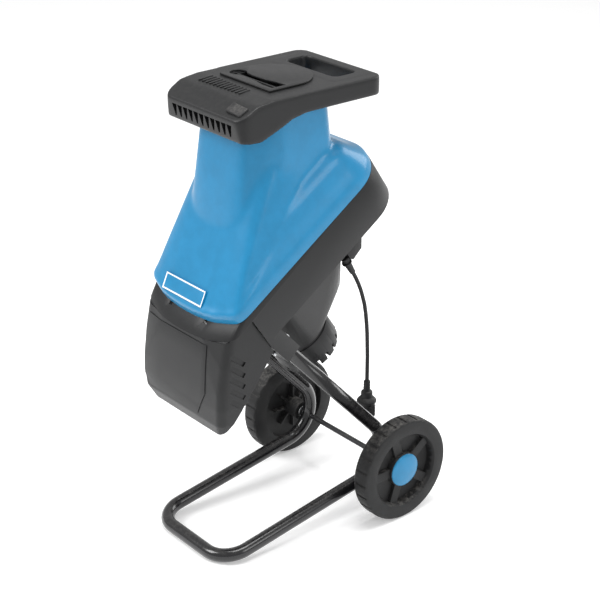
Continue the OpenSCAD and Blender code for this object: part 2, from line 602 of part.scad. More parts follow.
// front slope of the cover, from its foot over the joint plane up to the neck
slope_w = 6;
slope_v = front_v + 7.5;
neck_y = -288;
neck_rise = 58;
function slope_plan(x, v) = [[x, -60], [-x, -60], [-x, v + 20], [21 - x, v + 8.5], [-50, v], [50, v], [x - 21, v + 8.5], [x, v + 20]];
module neck_low(t) at_axle() slab(body_rise + neck_rise, neck_plan(neck_x + 4 - t, neck_y + t, -150 - t, 25, 64));
module neck(t) hull() {
    at_axle() slab(top_low + 2 + (t > 0 ? 1 : 0), neck_plan(neck_x - t, -264 + t, -110 - t, 30, 57));
    at_axle() slab(top_low - 71, neck_plan(neck_x + 2 - t, -272 + t, -99 - t, 28, 60));
    neck_low(t);
}
module neck_foot(t) hull() {
    neck_low(t);
    at_body() slab(slope_w - t, slope_plan(half_w - 6 - t, slope_v + t));
}
module hopper_cover() color([0.1, 0.5, 0.85]) difference() {
    union() {
        dome(0);
        neck(0);
        neck_foot(0);
        at_body() translate([0, 0, -skirt]) linear_extrude(skirt + 0.2) polygon(outline(0.4));
    }
    at_body() translate([0, 0, -skirt - 1]) linear_extrude(skirt + 1.5) polygon(outline(0.4 + wall));
    neck_foot(wall);
    dome(wall);
    neck(wall);
}
// the top panel's side view; t insets it
top_back = -10;
top_front = -317;
function top_side(t) = let(z = top_rise, b = top_low, f = top_front) [
    [top_back - t, b + t], [top_back - t, z - t], [-246, z - t], [f + 38, z - 4 - t], [f + t * 1.2, z - 24 - t * 0.5],
    [f + 7 + t, b - 30 + t], [f + 44, b - 33 + t], [f + 60, b - 27 + t], [-228, b - 16 + t], [-206, b - 6 + t], [-178, b + t]];
module top_form(t) at_axle() intersection() {
    across(-200, 200, top_side(t));
    translate([0, 0, 400]) linear_extrude(600) polygon(concat(
        arc(top_half - 24, top_back - 24, 24 - t, 0, 90, 6), arc(24 - top_half, top_back - 24, 24 - t, 90, 180, 6),
        arc(26 - top_half, top_front + 22, 22 - t, 180, 262, 6), arc(top_half - 26, top_front + 22, 22 - t, 278, 360, 6)));
}
head_x = 68;
head_front = -225;
head_mid = -165;
module head_plan(t) {
    translate([-head_x - t, head_front - t]) square([2 * (head_x + t), head_mid - head_front + t]);
    intersection() {
        translate([0, head_mid]) circle(r = head_x + t);
        translate([-100, head_mid - 0.1]) square([200, 100]);
    }
}
module hopper_top() color([0.13, 0.13, 0.14]) difference() {
    top_form(0);
    difference() {
        top_form(wall);
        at_axle() translate([-71, -88, top_low - 1]) cube([142, 56, 100]);
    }
    at_axle() translate([-66, -84, top_low - 5]) cube([132, 48, 100]);
    // hole for the neck in the underside
    at_axle() translate([0, 0, top_low - 60]) linear_extrude(60 + wall + 4)
        polygon(neck_plan(neck_x + 1.6, -271, -108, 29, 59));
    // opening of the feed chute
    at_feed() translate([-feed_w / 2, -feed_t / 2, -20]) cube([feed_w, feed_t, 60]);
    // air slots in the front lip
    at_axle() for (i = [-5:5]) translate([i * 15 - 3, top_front - 14, top_low - 22]) cube([6, 30, 18]);
}
feed_len = (top_rise - 4 - body_rise - (top_y + 200) * tan(body_tilt)) * cos(body_tilt) / cos(body_tilt - feed_lean);
module feed_chute() color([0.14, 0.14, 0.15]) difference() {
    union() {
        at_feed() translate([-feed_w / 2 - wall, -feed_t / 2 - wall, -feed_len - 60])
            cube([feed_w + 2 * wall, feed_t + 2 * wall, feed_len + 90]);
        at_feed() translate([-feed_w / 2 - 10, -feed_t / 2 - 10, -9]) cube([feed_w + 20, feed_t + 20, 4]);
    }
    at_feed() translate([-feed_w / 2, -feed_t / 2, -feed_len - 80]) cube([feed_w, feed_t, feed_len + 160]);
    at_axle() translate([-200, -500, top_rise - wall - gap]) cube([400, 600, 100]);
    at_body() translate([-200, -300, -201]) cube([400, 600, 200]);
}
blade_v = spin_v - 25;
module counter_blade() color([0.7, 0.72, 0.75]) at_body() difference() {
    translate([-feed_w / 2 - 8, blade_v + 2, -4.2]) cube([feed_w + 16, 12, 3.1]);
    for (side = [-1, 1]) translate([side * (feed_w / 2 - 8), blade_v + 8, 0]) drum(2.5 + run, -6, 6);
}
module counter_blade_screws() color("silver") at_body() for (side = [-1, 1])
    translate([side * (feed_w / 2 - 8), blade_v + 8, 0]) drum(2.5, -4.2, 6);
// height of the arms' tips under the front slope, both measured from the hinge
slope_end_v = (neck_y + 200) * cos(body_tilt) + neck_rise * sin(body_tilt);
slope_end_w = neck_rise * cos(body_tilt) - (neck_y + 200) * sin(body_tilt);
slope_rise = (slope_end_w - slope_w) / (slope_end_v - slope_v);
function tip_w(v) = slope_w - wall - 0.4 - hinge_w + (v + hinge_v - slope_v - wall) * slope_rise;
module hinge_arms() color([0.14, 0.14, 0.15]) at_body() for (side = [-1, 1])
    translate([side * hinge_x - 3, hinge_v, hinge_w]) rotate([90, 0, 90]) linear_extrude(6) difference() {
        polygon([[-5, -2], [-2, -5], [31, -5], [33, -3], [33, 32], [43, 40], [43, tip_w(43)], [36, tip_w(36)],
            [28, 34], [28, 4], [0, 4.5], [-4, 3]]);
        circle(r = 3 + run);
    }
module lock_insert() color("gold") at_body() translate([0, lock_v, 0]) difference() {
    drum(insert_r, 0.2, 14);
    drum(screw_r + 1, -1, 15);
}
module safety_peg() color([0.14, 0.14, 0.15]) at_body() translate([peg_x, lock_v, 0]) {
    drum(3, -21, 22);
    drum(9, 19, 22);
}
module plunger_head() color([0.16, 0.16, 0.17]) at_axle() difference() {
    translate([0, 0, top_rise + gap]) linear_extrude(5) head_plan(0);
    translate([0, 0, top_rise]) linear_extrude(10) {
        translate([-56, -200]) circle(r = 11);
        translate([56, -200]) circle(r = 11);
        translate([-56, -207]) square([112, 14]);
    }
}
module plunger_ram() color([0.16, 0.16, 0.17]) difference() {
    at_feed() translate([-ram_w / 2, -ram_t / 2, -190]) cube([ram_w, ram_t, 200]);
    at_feed() translate([wall - ram_w / 2, wall - ram_t / 2, -190 + wall]) cube([ram_w - 2 * wall, ram_t - 2 * wall, 230]);
    at_axle() translate([-200, -500, top_rise + gap - 0.05]) cube([400, 600, 100]);
}
module lock_washer() color("silver") at_body() translate([0, lock_v, 0]) difference() {
    drum(10, -body_h - 3, -body_h - gap - 0.4);
    drum(screw_r + run, -body_h - 4, -body_h);
}
module lock_knob() color([0.14, 0.14, 0.15]) at_body() translate([0, lock_v, 0]) {
    difference() {
        drum(knob_r, -body_h - 24, -body_h - 3.1);
        for (i = [0:7]) rotate([0, 0, i * 45]) translate([knob_r + 2, 0, 0]) drum(6, -body_h - 25, -body_h - 3);
    }
    drum(screw_r, -body_h - 4, 9);
}

chassis_tube();
axle();
axle_washers();
axle_caps();
wheel_left();
wheel_right();
hub_cap_left();
hub_cap_right();
frame_bolts();
frame_nuts();
base_housing();
discharge_chute();
motor_cover();
motor_end_grille();
switch_box();
switch_module();
cable_gland();
power_cord();
plug_body();
plug_pins();
bearing_plate();
gear_case();
gear_case_screws();
spindle_bearings();
motor_bearings();
stator_core();
stator_windings();
carbon_brushes();
brush_holders();
safety_switch();
hinge_pins();
spindle();
disc_flange();
blade_disc();
cutting_blades();
blade_screws();
disc_bolt();
ejector_vanes();
driven_gear();
armature_shaft();
armature_core();
armature_windings();
commutator();
cooling_fan();
motor_pinion();
hopper_cover();
hopper_top();
feed_chute();
counter_blade();
counter_blade_screws();
hinge_arms();
lock_insert();
safety_peg();
plunger_head();
plunger_ram();
lock_washer();
lock_knob();
button_on();
button_off();
reset_button();
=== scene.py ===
"""Garden chipper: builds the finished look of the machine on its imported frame."""
import json
import math
import bpy
from bpy.props import FloatProperty, FloatVectorProperty, IntProperty, PointerProperty
from mathutils import Matrix, Vector


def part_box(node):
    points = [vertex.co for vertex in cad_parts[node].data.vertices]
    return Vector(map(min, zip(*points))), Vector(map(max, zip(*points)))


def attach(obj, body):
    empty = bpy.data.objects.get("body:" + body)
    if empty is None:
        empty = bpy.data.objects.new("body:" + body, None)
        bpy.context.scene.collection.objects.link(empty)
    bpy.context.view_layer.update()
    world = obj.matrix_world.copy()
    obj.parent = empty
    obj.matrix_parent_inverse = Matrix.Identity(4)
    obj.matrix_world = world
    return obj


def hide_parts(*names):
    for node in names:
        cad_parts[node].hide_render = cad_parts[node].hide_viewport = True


bl_info = {
    "name": "Garden Chipper",
    "version": (1, 0, 0),
    "blender": (4, 5, 0),
    "location": "View3D > Sidebar > Chipper",
    "description": "Builds a garden chipper piece by piece on its packed frame",
    "category": "Add Mesh",
}

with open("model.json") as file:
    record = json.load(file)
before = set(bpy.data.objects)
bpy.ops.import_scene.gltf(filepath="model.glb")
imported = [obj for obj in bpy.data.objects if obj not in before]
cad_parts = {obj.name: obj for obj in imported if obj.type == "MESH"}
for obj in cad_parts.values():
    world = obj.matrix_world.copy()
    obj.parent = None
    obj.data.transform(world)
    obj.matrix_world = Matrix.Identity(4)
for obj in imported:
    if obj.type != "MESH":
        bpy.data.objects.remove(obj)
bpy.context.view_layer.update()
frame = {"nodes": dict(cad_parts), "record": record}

# ---- sizes of the frame, in metres -------------------------------------------------
axle_low, axle_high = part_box("axle")
AXLE_Y = (axle_low[1] + axle_high[1]) / 2
AXLE_Z = (axle_low[2] + axle_high[2]) / 2
TILT = math.radians(34)
WALL = 0.003
HALF_W = 0.124
FRONT_V = -0.195
REAR_V = 0.218
SKIRT = 0.012
BAND_H = 0.027
CHUTE_V = -0.150
TOP_RISE = 0.742
TOP_LOW = 0.709
TOP_HALF = 0.111
TOP_BACK = -0.010
TOP_FRONT = -0.317
NECK_X = 0.090
SLOPE_V = FRONT_V + 0.0075


def at_axle(x, y, z):
    """A point measured from the middle of the axle."""
    return Vector((x, AXLE_Y + y, AXLE_Z + z))


def at_body(x, v, w):
    """A point of the tilted housing: v up its slope, w out of its joint plane."""
    c, s = math.cos(TILT), math.sin(TILT)
    return at_axle(x, -0.200 + v * c - w * s, 0.483 + v * s + w * c)


BODY_UP = Vector((0, -math.sin(TILT), math.cos(TILT)))


class ChipperColours(bpy.types.PropertyGroup):
    cover: FloatVectorProperty(name="Cover", description="Blue of the cover and the wheel caps",
                               subtype="COLOR", size=3, min=0, max=1, default=(0.010, 0.200, 0.400))
    shell: FloatVectorProperty(name="Shell", description="Black of the moulded housing",
                               subtype="COLOR", size=3, min=0, max=1, default=(0.0115, 0.0118, 0.0125))
    tube: FloatVectorProperty(name="Tube", description="Black of the painted tubes",
                              subtype="COLOR", size=3, min=0, max=1, default=(0.007, 0.007, 0.008))
    wheel: FloatVectorProperty(name="Wheel", description="Black of the wheels",
                               subtype="COLOR", size=3, min=0, max=1, default=(0.010, 0.0102, 0.0106))
    floor: FloatVectorProperty(name="Floor", description="Pale floor under the machine",
                               subtype="COLOR", size=3, min=0, max=1, default=(0.87, 0.87, 0.87))


class ChipperSizes(bpy.types.PropertyGroup):
    cord_d: FloatProperty(name="Cord", description="Diameter of the power cord",
                          unit="LENGTH", default=0.0075, min=0.004, max=0.012)
    shell_wall: FloatProperty(name="Shell wall", description="Wall of the moulded shells",
                              unit="LENGTH", default=WALL, min=0.001, max=0.006)
    cover_soft: IntProperty(name="Cover softness", description="Rounding passes over the cover",
                            default=30, min=0, max=80)
    tray_soft: IntProperty(name="Tray softness", description="Rounding passes over the top tray",
                           default=22, min=0, max=60)
    chute_soft: IntProperty(name="Chute softness", description="Rounding passes over the chute",
                            default=5, min=0, max=60)
    edge: FloatProperty(name="Edge", description="Rounding of the moulded edges",
                        unit="LENGTH", default=0.0012, min=0.0, max=0.004)
    lens: FloatProperty(name="Lens", description="Focal length of the camera", unit="CAMERA",
                        default=94.9, min=20, max=200)


# ---- materials ---------------------------------------------------------------------
def new_group(name, ins, outs):
    """A shader node group with named float inputs and outputs."""
    g = bpy.data.node_groups.new(name, "ShaderNodeTree")
    for n, d in ins:
        s = g.interface.new_socket(name=n, in_out="INPUT", socket_type="NodeSocketFloat")
        s.default_value = d
    for n in outs:
        g.interface.new_socket(name=n, in_out="OUTPUT", socket_type="NodeSocketFloat")
    return g, g.nodes.new("NodeGroupInput"), g.nodes.new("NodeGroupOutput")


def ramp(nodes, low, high):
    """A soft step from 0 at low to 1 at high."""
    n = nodes.new("ShaderNodeMapRange")
    n.interpolation_type = "SMOOTHSTEP"
    n.inputs["From Min"].default_value = low
    n.inputs["From Max"].default_value = high
    return n


def maths(g, op, a, b):
    """One sum of two values, each a number or a socket."""
    n = g.nodes.new("ShaderNodeMath")
    n.operation = op
    for i, v in enumerate((a, b)):
        if isinstance(v, (int, float)):
            n.inputs[i].default_value = v
        else:
            g.links.new(v, n.inputs[i])
    return n.outputs[0]


def noise(g, coord, scale, detail=2.0, rough=0.5):
    """A cloudy value at the given scale."""
    n = g.nodes.new("ShaderNodeTexNoise")
    n.inputs["Detail"].default_value = detail
    n.inputs["Roughness"].default_value = rough
    g.links.new(coord, n.inputs["Vector"])
    if isinstance(scale, (int, float)):
        n.inputs["Scale"].default_value = scale
    else:
        g.links.new(scale, n.inputs["Scale"])
    return n.outputs["Fac"]


def grain_group():
    """Moulded leather-like grain: fine pebbles over a slow waviness."""
    g, i, o = new_group("Moulded grain", [("Scale", 900.0), ("Waviness", 0.4)], ["Height", "Tone"])
    co = g.nodes.new("ShaderNodeTexCoord").outputs["Object"]
    v = g.nodes.new("ShaderNodeTexVoronoi")
    v.feature = "SMOOTH_F1"
    v.inputs["Smoothness"].default_value = 0.6
    g.links.new(co, v.inputs["Vector"])
    g.links.new(i.outputs["Scale"], v.inputs["Scale"])
    slow = noise(g, co, 14.0, 3.0)
    fine = noise(g, co, maths(g, "MULTIPLY", i.outputs["Scale"], 1.7), 2.0)
    peb = maths(g, "ADD", maths(g, "MULTIPLY", v.outputs["Distance"], 0.7), maths(g, "MULTIPLY", fine, 0.5))
    g.links.new(maths(g, "ADD", peb, maths(g, "MULTIPLY", slow, i.outputs["Waviness"])), o.inputs["Height"])
    g.links.new(noise(g, co, 38.0, 5.0, 0.6), o.inputs["Tone"])
    return g


def wear_group():
    """Rubbed and scuffed places: thin scratches and soft rub marks."""
    g, i, o = new_group("Rub wear", [("Scale", 60.0), ("Amount", 0.3)], ["Mask", "Scratches"])
    co = g.nodes.new("ShaderNodeTexCoord").outputs["Object"]
    m = g.nodes.new("ShaderNodeMapping")
    m.inputs["Scale"].default_value = (1.0, 0.08, 1.0)
    m.inputs["Rotation"].default_value = (0.3, 0.5, 0.7)
    g.links.new(co, m.inputs["Vector"])
    r = ramp(g.nodes, 0.62, 0.80)
    g.links.new(noise(g, co, i.outputs["Scale"], 6.0, 0.62), r.inputs["Value"])
    s = ramp(g.nodes, 0.66, 0.72)
    fine = maths(g, "MULTIPLY", i.outputs["Scale"], 9.0)
    g.links.new(noise(g, m.outputs["Vector"], fine, 4.0, 0.7), s.inputs["Value"])
    g.links.new(maths(g, "MULTIPLY", r.outputs["Result"], i.outputs["Amount"]), o.inputs["Mask"])
    g.links.new(maths(g, "MULTIPLY", s.outputs["Result"], i.outputs["Amount"]), o.inputs["Scratches"])
    return g


def dust_group():
    """Pale dust that lies on faces turned upwards."""
    g, i, o = new_group("Settled dust", [("Amount", 0.2)], ["Mask"])
    geo = g.nodes.new("ShaderNodeNewGeometry")
    xyz = g.nodes.new("ShaderNodeSeparateXYZ")
    g.links.new(geo.outputs["Normal"], xyz.inputs[0])
    up = ramp(g.nodes, 0.35, 0.98)
    g.links.new(xyz.outputs["Z"], up.inputs["Value"])
    co = g.nodes.new("ShaderNodeTexCoord").outputs["Object"]
    spots = ramp(g.nodes, 0.38, 0.72)
    g.links.new(noise(g, co, 120.0, 8.0, 0.7), spots.inputs["Value"])
    g.links.new(maths(g, "MULTIPLY", maths(g, "MULTIPLY", up.outputs["Result"], spots.outputs["Result"]),
                      i.outputs["Amount"]), o.inputs["Mask"])
    return g


def spun_group():
    """Fine turning or brushing lines round the X axis or along a part."""
    g, i, o = new_group("Turned lines", [("Scale", 900.0), ("Stretch", 0.05)], ["Height"])
    co = g.nodes.new("ShaderNodeTexCoord").outputs["Object"]
    x = g.nodes.new("ShaderNodeSeparateXYZ")
    g.links.new(co, x.inputs[0])
    c = g.nodes.new("ShaderNodeCombineXYZ")
    g.links.new(x.outputs["X"], c.inputs["X"])
    g.links.new(maths(g, "MULTIPLY", x.outputs["Y"], i.outputs["Stretch"]), c.inputs["Y"])
    g.links.new(maths(g, "MULTIPLY", x.outputs["Z"], i.outputs["Stretch"]), c.inputs["Z"])
    g.links.new(noise(g, c.outputs[0], i.outputs["Scale"], 3.0), o.inputs["Height"])
    return g


EFFECTS = {"grain": grain_group, "wear": wear_group, "dust": dust_group, "spun": spun_group}
GROUPS = {}


def group(name):
    """The shared effect of that name, made when it is first asked for."""
    if name not in GROUPS:
        GROUPS[name] = EFFECTS[name]()
    return GROUPS[name]


def mix_colours(tree, share, a, b):
    """Colour a passing into colour b by the share; each is a socket or a value."""
    n = tree.nodes.new("ShaderNodeMix")
    n.data_type = "RGBA"
    for key, v in ((0, share), (6, a), (7, b)):
        if hasattr(v, "is_output"):
            tree.links.new(v, n.inputs[key])
        else:
            n.inputs[key].default_value = v
    return n.outputs[2]


DUST_TINT = (0.42, 0.40, 0.37, 1)
COAT_ROUGHNESS = 0.12
WEAR_SCALE = 60.0
GRAIN_WAVINESS = 0.4
SPECULAR = 0.32
MOTTLE = 0.05
BUMP_STRENGTH = 0.7


def finish_material(name, colour, rough, grain, metallic=0.0, wear=0.2, dust=0.12, spun=0.0, coat=0.0):
    """A finish whose colour, roughness and relief come from the shared effects."""
    m = bpy.data.materials.new(name)
    m.use_nodes = True
    tree = m.node_tree
    shader = tree.nodes["Principled BSDF"]
    shader.inputs["Metallic"].default_value = metallic
    shader.inputs["Specular IOR Level"].default_value = SPECULAR
    if coat:
        shader.inputs["Coat Weight"].default_value = coat
        shader.inputs["Coat Roughness"].default_value = COAT_ROUGHNESS

    def use(kind, **values):
        n = tree.nodes.new("ShaderNodeGroup")
        n.node_tree = group(kind)
        for key, v in values.items():
            n.inputs[key].default_value = v
        return n

    moulding = use("grain", Scale=grain[0], Waviness=GRAIN_WAVINESS)
    rubbing = use("wear", Scale=WEAR_SCALE, Amount=wear)
    dusting = use("dust", Amount=dust)
    dark = (*((1 - MOTTLE) * k for k in colour), 1)
    light = (*(min(1, (1 + MOTTLE) * k) for k in colour), 1)
    worn = (*(min(1, 1.35 * k + 0.012) for k in colour), 1)
    tone = ramp(tree.nodes, 0.3, 0.7)
    tree.links.new(moulding.outputs["Tone"], tone.inputs["Value"])
    base = mix_colours(tree, tone.outputs["Result"], dark, light)
    base = mix_colours(tree, rubbing.outputs["Mask"], base, worn)
    base = mix_colours(tree, dusting.outputs["Mask"], base, DUST_TINT)
    tree.links.new(base, shader.inputs["Base Color"])
    gloss = tree.nodes.new("ShaderNodeMapRange")
    gloss.inputs["To Min"].default_value = rough[0]
    gloss.inputs["To Max"].default_value = rough[1]
    tree.links.new(moulding.outputs["Tone"], gloss.inputs["Value"])
    scuffed = maths(tree, "MULTIPLY", rubbing.outputs["Scratches"], 0.25)
    dusty = maths(tree, "MULTIPLY", dusting.outputs["Mask"], 0.4)
    roughness = maths(tree, "ADD", maths(tree, "ADD", gloss.outputs["Result"], scuffed), dusty)
    tree.links.new(roughness, shader.inputs["Roughness"])
    cut = maths(tree, "MULTIPLY", rubbing.outputs["Scratches"], 0.6)
    height = maths(tree, "SUBTRACT", moulding.outputs["Height"], cut)
    if spun:
        height = maths(tree, "ADD", height, use("spun", Scale=spun).outputs["Height"])
    bump = tree.nodes.new("ShaderNodeBump")
    bump.inputs["Strength"].default_value = BUMP_STRENGTH
    bump.inputs["Distance"].default_value = grain[1]
    tree.links.new(height, bump.inputs["Height"])
    tree.links.new(bump.outputs["Normal"], shader.inputs["Normal"])
    return m


def finishes():
    """What each finish is made with: colour, roughness range, grain scale and depth, and its extras."""
    c = bpy.context.scene.chipper_colours
    return {
        "moulded_blue": dict(colour=c.cover, rough=(0.26, 0.38), grain=(1500.0, 0.00006),
                             wear=0.10, dust=0.05, coat=0.25),
        "moulded_black": dict(colour=c.shell, rough=(0.36, 0.46), grain=(1300.0, 0.00012), wear=0.07, dust=0.02),
        "tube_black": dict(colour=c.tube, rough=(0.16, 0.30), grain=(2200.0, 0.00004),
                           wear=0.16, dust=0.08, coat=0.6),
        "wheel_black": dict(colour=c.wheel, rough=(0.44, 0.62), grain=(1300.0, 0.00020), wear=0.35, dust=0.22),
        "steel": dict(colour=(0.56, 0.57, 0.58), rough=(0.26, 0.44), grain=(2600.0, 0.00003),
                      metallic=1.0, spun=1400.0),
        "blade_steel": dict(colour=(0.62, 0.63, 0.65), rough=(0.16, 0.34), grain=(2600.0, 0.00003),
                            metallic=1.0, spun=2200.0),
        "cast_alloy": dict(colour=(0.55, 0.56, 0.57), rough=(0.42, 0.62), grain=(700.0, 0.0003), metallic=1.0),
        "brass": dict(colour=(0.74, 0.55, 0.25), rough=(0.22, 0.38), grain=(2400.0, 0.00003),
                      metallic=1.0, spun=1500.0),
        "copper": dict(colour=(0.62, 0.27, 0.11), rough=(0.28, 0.46), grain=(1200.0, 0.0003),
                       metallic=0.8, spun=900.0),
        "lamination": dict(colour=(0.33, 0.34, 0.36), rough=(0.38, 0.6), grain=(1800.0, 0.0001),
                           metallic=0.9, spun=1900.0),
        "cord_rubber": dict(colour=(0.016, 0.016, 0.017), rough=(0.48, 0.66), grain=(1700.0, 0.00008),
                            wear=0.12, dust=0.14),
        "button_green": dict(colour=(0.03, 0.36, 0.10), rough=(0.25, 0.38), grain=(1500.0, 0.00005), coat=0.3),
        "button_red": dict(colour=(0.52, 0.03, 0.02), rough=(0.25, 0.38), grain=(1500.0, 0.00005), coat=0.3),
        "carbon": dict(colour=(0.03, 0.03, 0.032), rough=(0.6, 0.8), grain=(1500.0, 0.0002)),
        "blackened": dict(colour=(0.055, 0.055, 0.058), rough=(0.28, 0.42), grain=(2400.0, 0.00004),
                          metallic=0.85),
        "label_white": dict(colour=(0.78, 0.80, 0.82), rough=(0.30, 0.42), grain=(1500.0, 0.00004),
                            wear=0.15, dust=0.05),
    }


MATERIALS = {}


def material(slot):
    """The finish for one of the record's material slots, or one of the two extra finishes."""
    if slot not in MATERIALS:
        MATERIALS[slot] = finish_material(slot.replace("_", " "), **finishes()[slot])
    return MATERIALS[slot]


# ---- modelling helpers --------------------------------------------------------------
def only(obj):
    """Deselects everything else and makes obj active."""
    if bpy.context.mode != "OBJECT":
        bpy.ops.object.mode_set(mode="OBJECT")
    bpy.ops.object.select_all(action="DESELECT")
    obj.select_set(True)
    bpy.context.view_layer.objects.active = obj
    return obj


def settle(obj):
    """Puts obj's place into its mesh."""
    only(obj)
    bpy.ops.object.transform_apply(location=True, rotation=True, scale=True)
    return obj


def modify(obj, kind, **values):
    """Adds one modifier and applies it."""
    only(obj)
    m = obj.modifiers.new(kind.title(), kind)
    for k, v in values.items():
        setattr(m, k, v)
    bpy.ops.object.modifier_apply(modifier=m.name)
    return obj


def edit(obj):
    """Opens obj in edit mode with nothing selected."""
    only(obj)
    bpy.ops.object.mode_set(mode="EDIT")
    bpy.ops.mesh.select_all(action="DESELECT")


def pick_faces(obj, test):
    """Selects the faces whose centre and normal pass the test, in edit mode."""
    bpy.ops.object.mode_set(mode="OBJECT")
    for part in (*obj.data.edges, *obj.data.vertices):
        part.select = False
    for f in obj.data.polygons:
        f.select = bool(test(f.center, f.normal))
    bpy.ops.object.mode_set(mode="EDIT")
    bpy.ops.mesh.select_mode(type="FACE")


def done(obj, slot, body, *nodes, angle=32.0):
    """Smooths, paints and mounts the finished piece, and hides the frame parts it stands for."""
    if not obj.data.polygons:
        raise RuntimeError(f"{obj.name} came out empty")
    only(obj)
    bpy.ops.object.shade_smooth_by_angle(angle=math.radians(angle))
    obj.data.materials.clear()
    obj.data.materials.append(material(slot))
    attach(obj, body)
    if nodes:
        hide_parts(*nodes)
    return obj


def cube(name, centre, size, turn=(0, 0, 0)):
    """A block of that size, turned about its centre."""
    bpy.ops.object.select_all(action="DESELECT")
    bpy.ops.mesh.primitive_cube_add(size=1, location=centre, rotation=turn)
    o = bpy.context.object
    o.name = name
    o.scale = size
    return settle(o)


def aim(direction):
    """The turn that points the Z axis along direction."""
    return Vector(direction).to_track_quat("Z", "Y").to_euler()


def facing(place, target):
    """The turn of a camera or lamp at place that looks at target."""
    return (target - Vector(place)).to_track_quat("-Z", "Y").to_euler()


def bevel(obj, width, segments, sharp=40):
    """Rounds the edges sharper than the given angle."""
    return modify(obj, "BEVEL", width=width, segments=segments, limit_method="ANGLE",
                  angle_limit=math.radians(sharp))


def lathe(name, rings, centre, axis, sides=64):
    """A turned solid: rings of (radius, distance along the axis), from a circle extruded and scaled."""
    bpy.ops.object.select_all(action="DESELECT")
    bpy.ops.mesh.primitive_circle_add(vertices=sides, radius=rings[0][0], fill_type="NGON",
                                      location=(0, 0, rings[0][1]))
    o = bpy.context.object
    o.name = name
    bpy.ops.object.transform_apply(location=True)
    bpy.ops.object.mode_set(mode="EDIT")
    bpy.ops.mesh.select_all(action="SELECT")
    for (r0, z0), (r1, z1) in zip(rings, rings[1:]):
        bpy.ops.mesh.extrude_region_move(TRANSFORM_OT_translate={"value": (0, 0, z1 - z0)})
        bpy.ops.transform.resize(value=(r1 / r0, r1 / r0, 1))
    bpy.ops.mesh.select_all(action="SELECT")
    bpy.ops.mesh.normals_make_consistent(inside=False)
    bpy.ops.object.mode_set(mode="OBJECT")
    o.rotation_euler = aim(axis)
    o.location = centre
    return settle(o)


def new_mesh(name, points, faces):
    """A new object from points and the faces between them."""
    mesh = bpy.data.meshes.new(name)
    mesh.from_pydata([tuple(p) for p in points], [], faces)
    o = bpy.data.objects.new(name, mesh)
    bpy.context.scene.collection.objects.link(o)
    return o


def from_points(name, sets):
    """The hull of each set of points, all joined into one object."""
    made = []
    for points in sets:
        o = new_mesh(name, points, [])
        edit(o)
        bpy.ops.mesh.select_all(action="SELECT")
        bpy.ops.mesh.convex_hull()
        bpy.ops.object.mode_set(mode="OBJECT")
        made.append(o)
    return join(made, name)


def prism(name, points, move):
    """A flat outline pushed along move into a closed solid."""
    o = new_mesh(name, points, [list(range(len(points)))])
    edit(o)
    bpy.ops.mesh.select_all(action="SELECT")
    bpy.ops.mesh.extrude_region_move(TRANSFORM_OT_translate={"value": tuple(move)})
    bpy.ops.mesh.select_all(action="SELECT")
    bpy.ops.mesh.normals_make_consistent(inside=False)
    bpy.ops.object.mode_set(mode="OBJECT")
    return o


def join(objs, name):
    """Several objects made one, under one name."""
    only(objs[0])
    for o in objs[1:]:
        o.select_set(True)
    if len(objs) > 1:
        bpy.ops.object.join()
    objs[0].name = name
    return objs[0]


def soften(obj, voxel, passes):
    """One skin of even faces, rounded by smoothing."""
    only(obj)
    obj.data.remesh_voxel_size = voxel
    obj.data.remesh_voxel_adaptivity = 0.0
    bpy.ops.object.voxel_remesh()
    if passes:
        modify(obj, "SMOOTH", factor=0.5, iterations=passes)
    return obj


def trim(obj, point, normal, fill=False):
    """Cuts off what lies on the normal's side of the plane."""
    only(obj)
    bpy.ops.object.mode_set(mode="EDIT")
    bpy.ops.mesh.select_all(action="SELECT")
    bpy.ops.mesh.bisect(plane_co=point, plane_no=normal, clear_outer=True, clear_inner=False, use_fill=fill)
    bpy.ops.object.mode_set(mode="OBJECT")
    return obj


def combine(obj, other, operation):
    """Changes obj by the volume of other, which is used up."""
    modify(obj, "BOOLEAN", operation=operation, object=other, solver="EXACT")
    bpy.data.objects.remove(other, do_unlink=True)
    return obj


def carve(obj, cutter):
    """Takes the cutter's volume out of obj."""
    return combine(obj, cutter, "DIFFERENCE")


def merge(obj, other):
    """Adds the other's volume to obj."""
    return combine(obj, other, "UNION")


def common(obj, other):
    """Keeps what obj and the other share."""
    return combine(obj, other, "INTERSECT")


def refined(node, name, edge, segments=2):
    """A clean copy of a CAD node: merged, freed of its loose triangles, its edges rounded."""
    source = frame["nodes"][node]
    o = source.copy()
    o.data = source.data.copy()
    o.parent = None
    for key in list(o.keys()):
        del o[key]
    o.name = name
    bpy.context.scene.collection.objects.link(o)
    o.matrix_world = source.matrix_world.copy()
    settle(o)
    edit(o)
    bpy.ops.mesh.select_all(action="SELECT")
    bpy.ops.mesh.remove_doubles(threshold=1e-6)
    bpy.ops.mesh.dissolve_limited(angle_limit=math.radians(0.5))
    bpy.ops.object.mode_set(mode="OBJECT")
    if edge:
        modify(o, "BEVEL", width=edge, segments=segments, limit_method="ANGLE",
               angle_limit=math.radians(38), use_clamp_overlap=True, miter_outer="MITER_ARC")
    return o


# ---- outlines of the housing, measured in its tilted frame ---------------------------
def arc(cx, cy, r, a0, a1, n):
    """Points round a centre from angle a0 to a1, in degrees."""
    turns = [math.radians(a0 + (a1 - a0) * i / n) for i in range(n + 1)]
    return [(cx + r * math.cos(a), cy + r * math.sin(a)) for a in turns]


REAR_R = 0.072
FRONT_R = 0.022
FRONT_BOW = 0.018


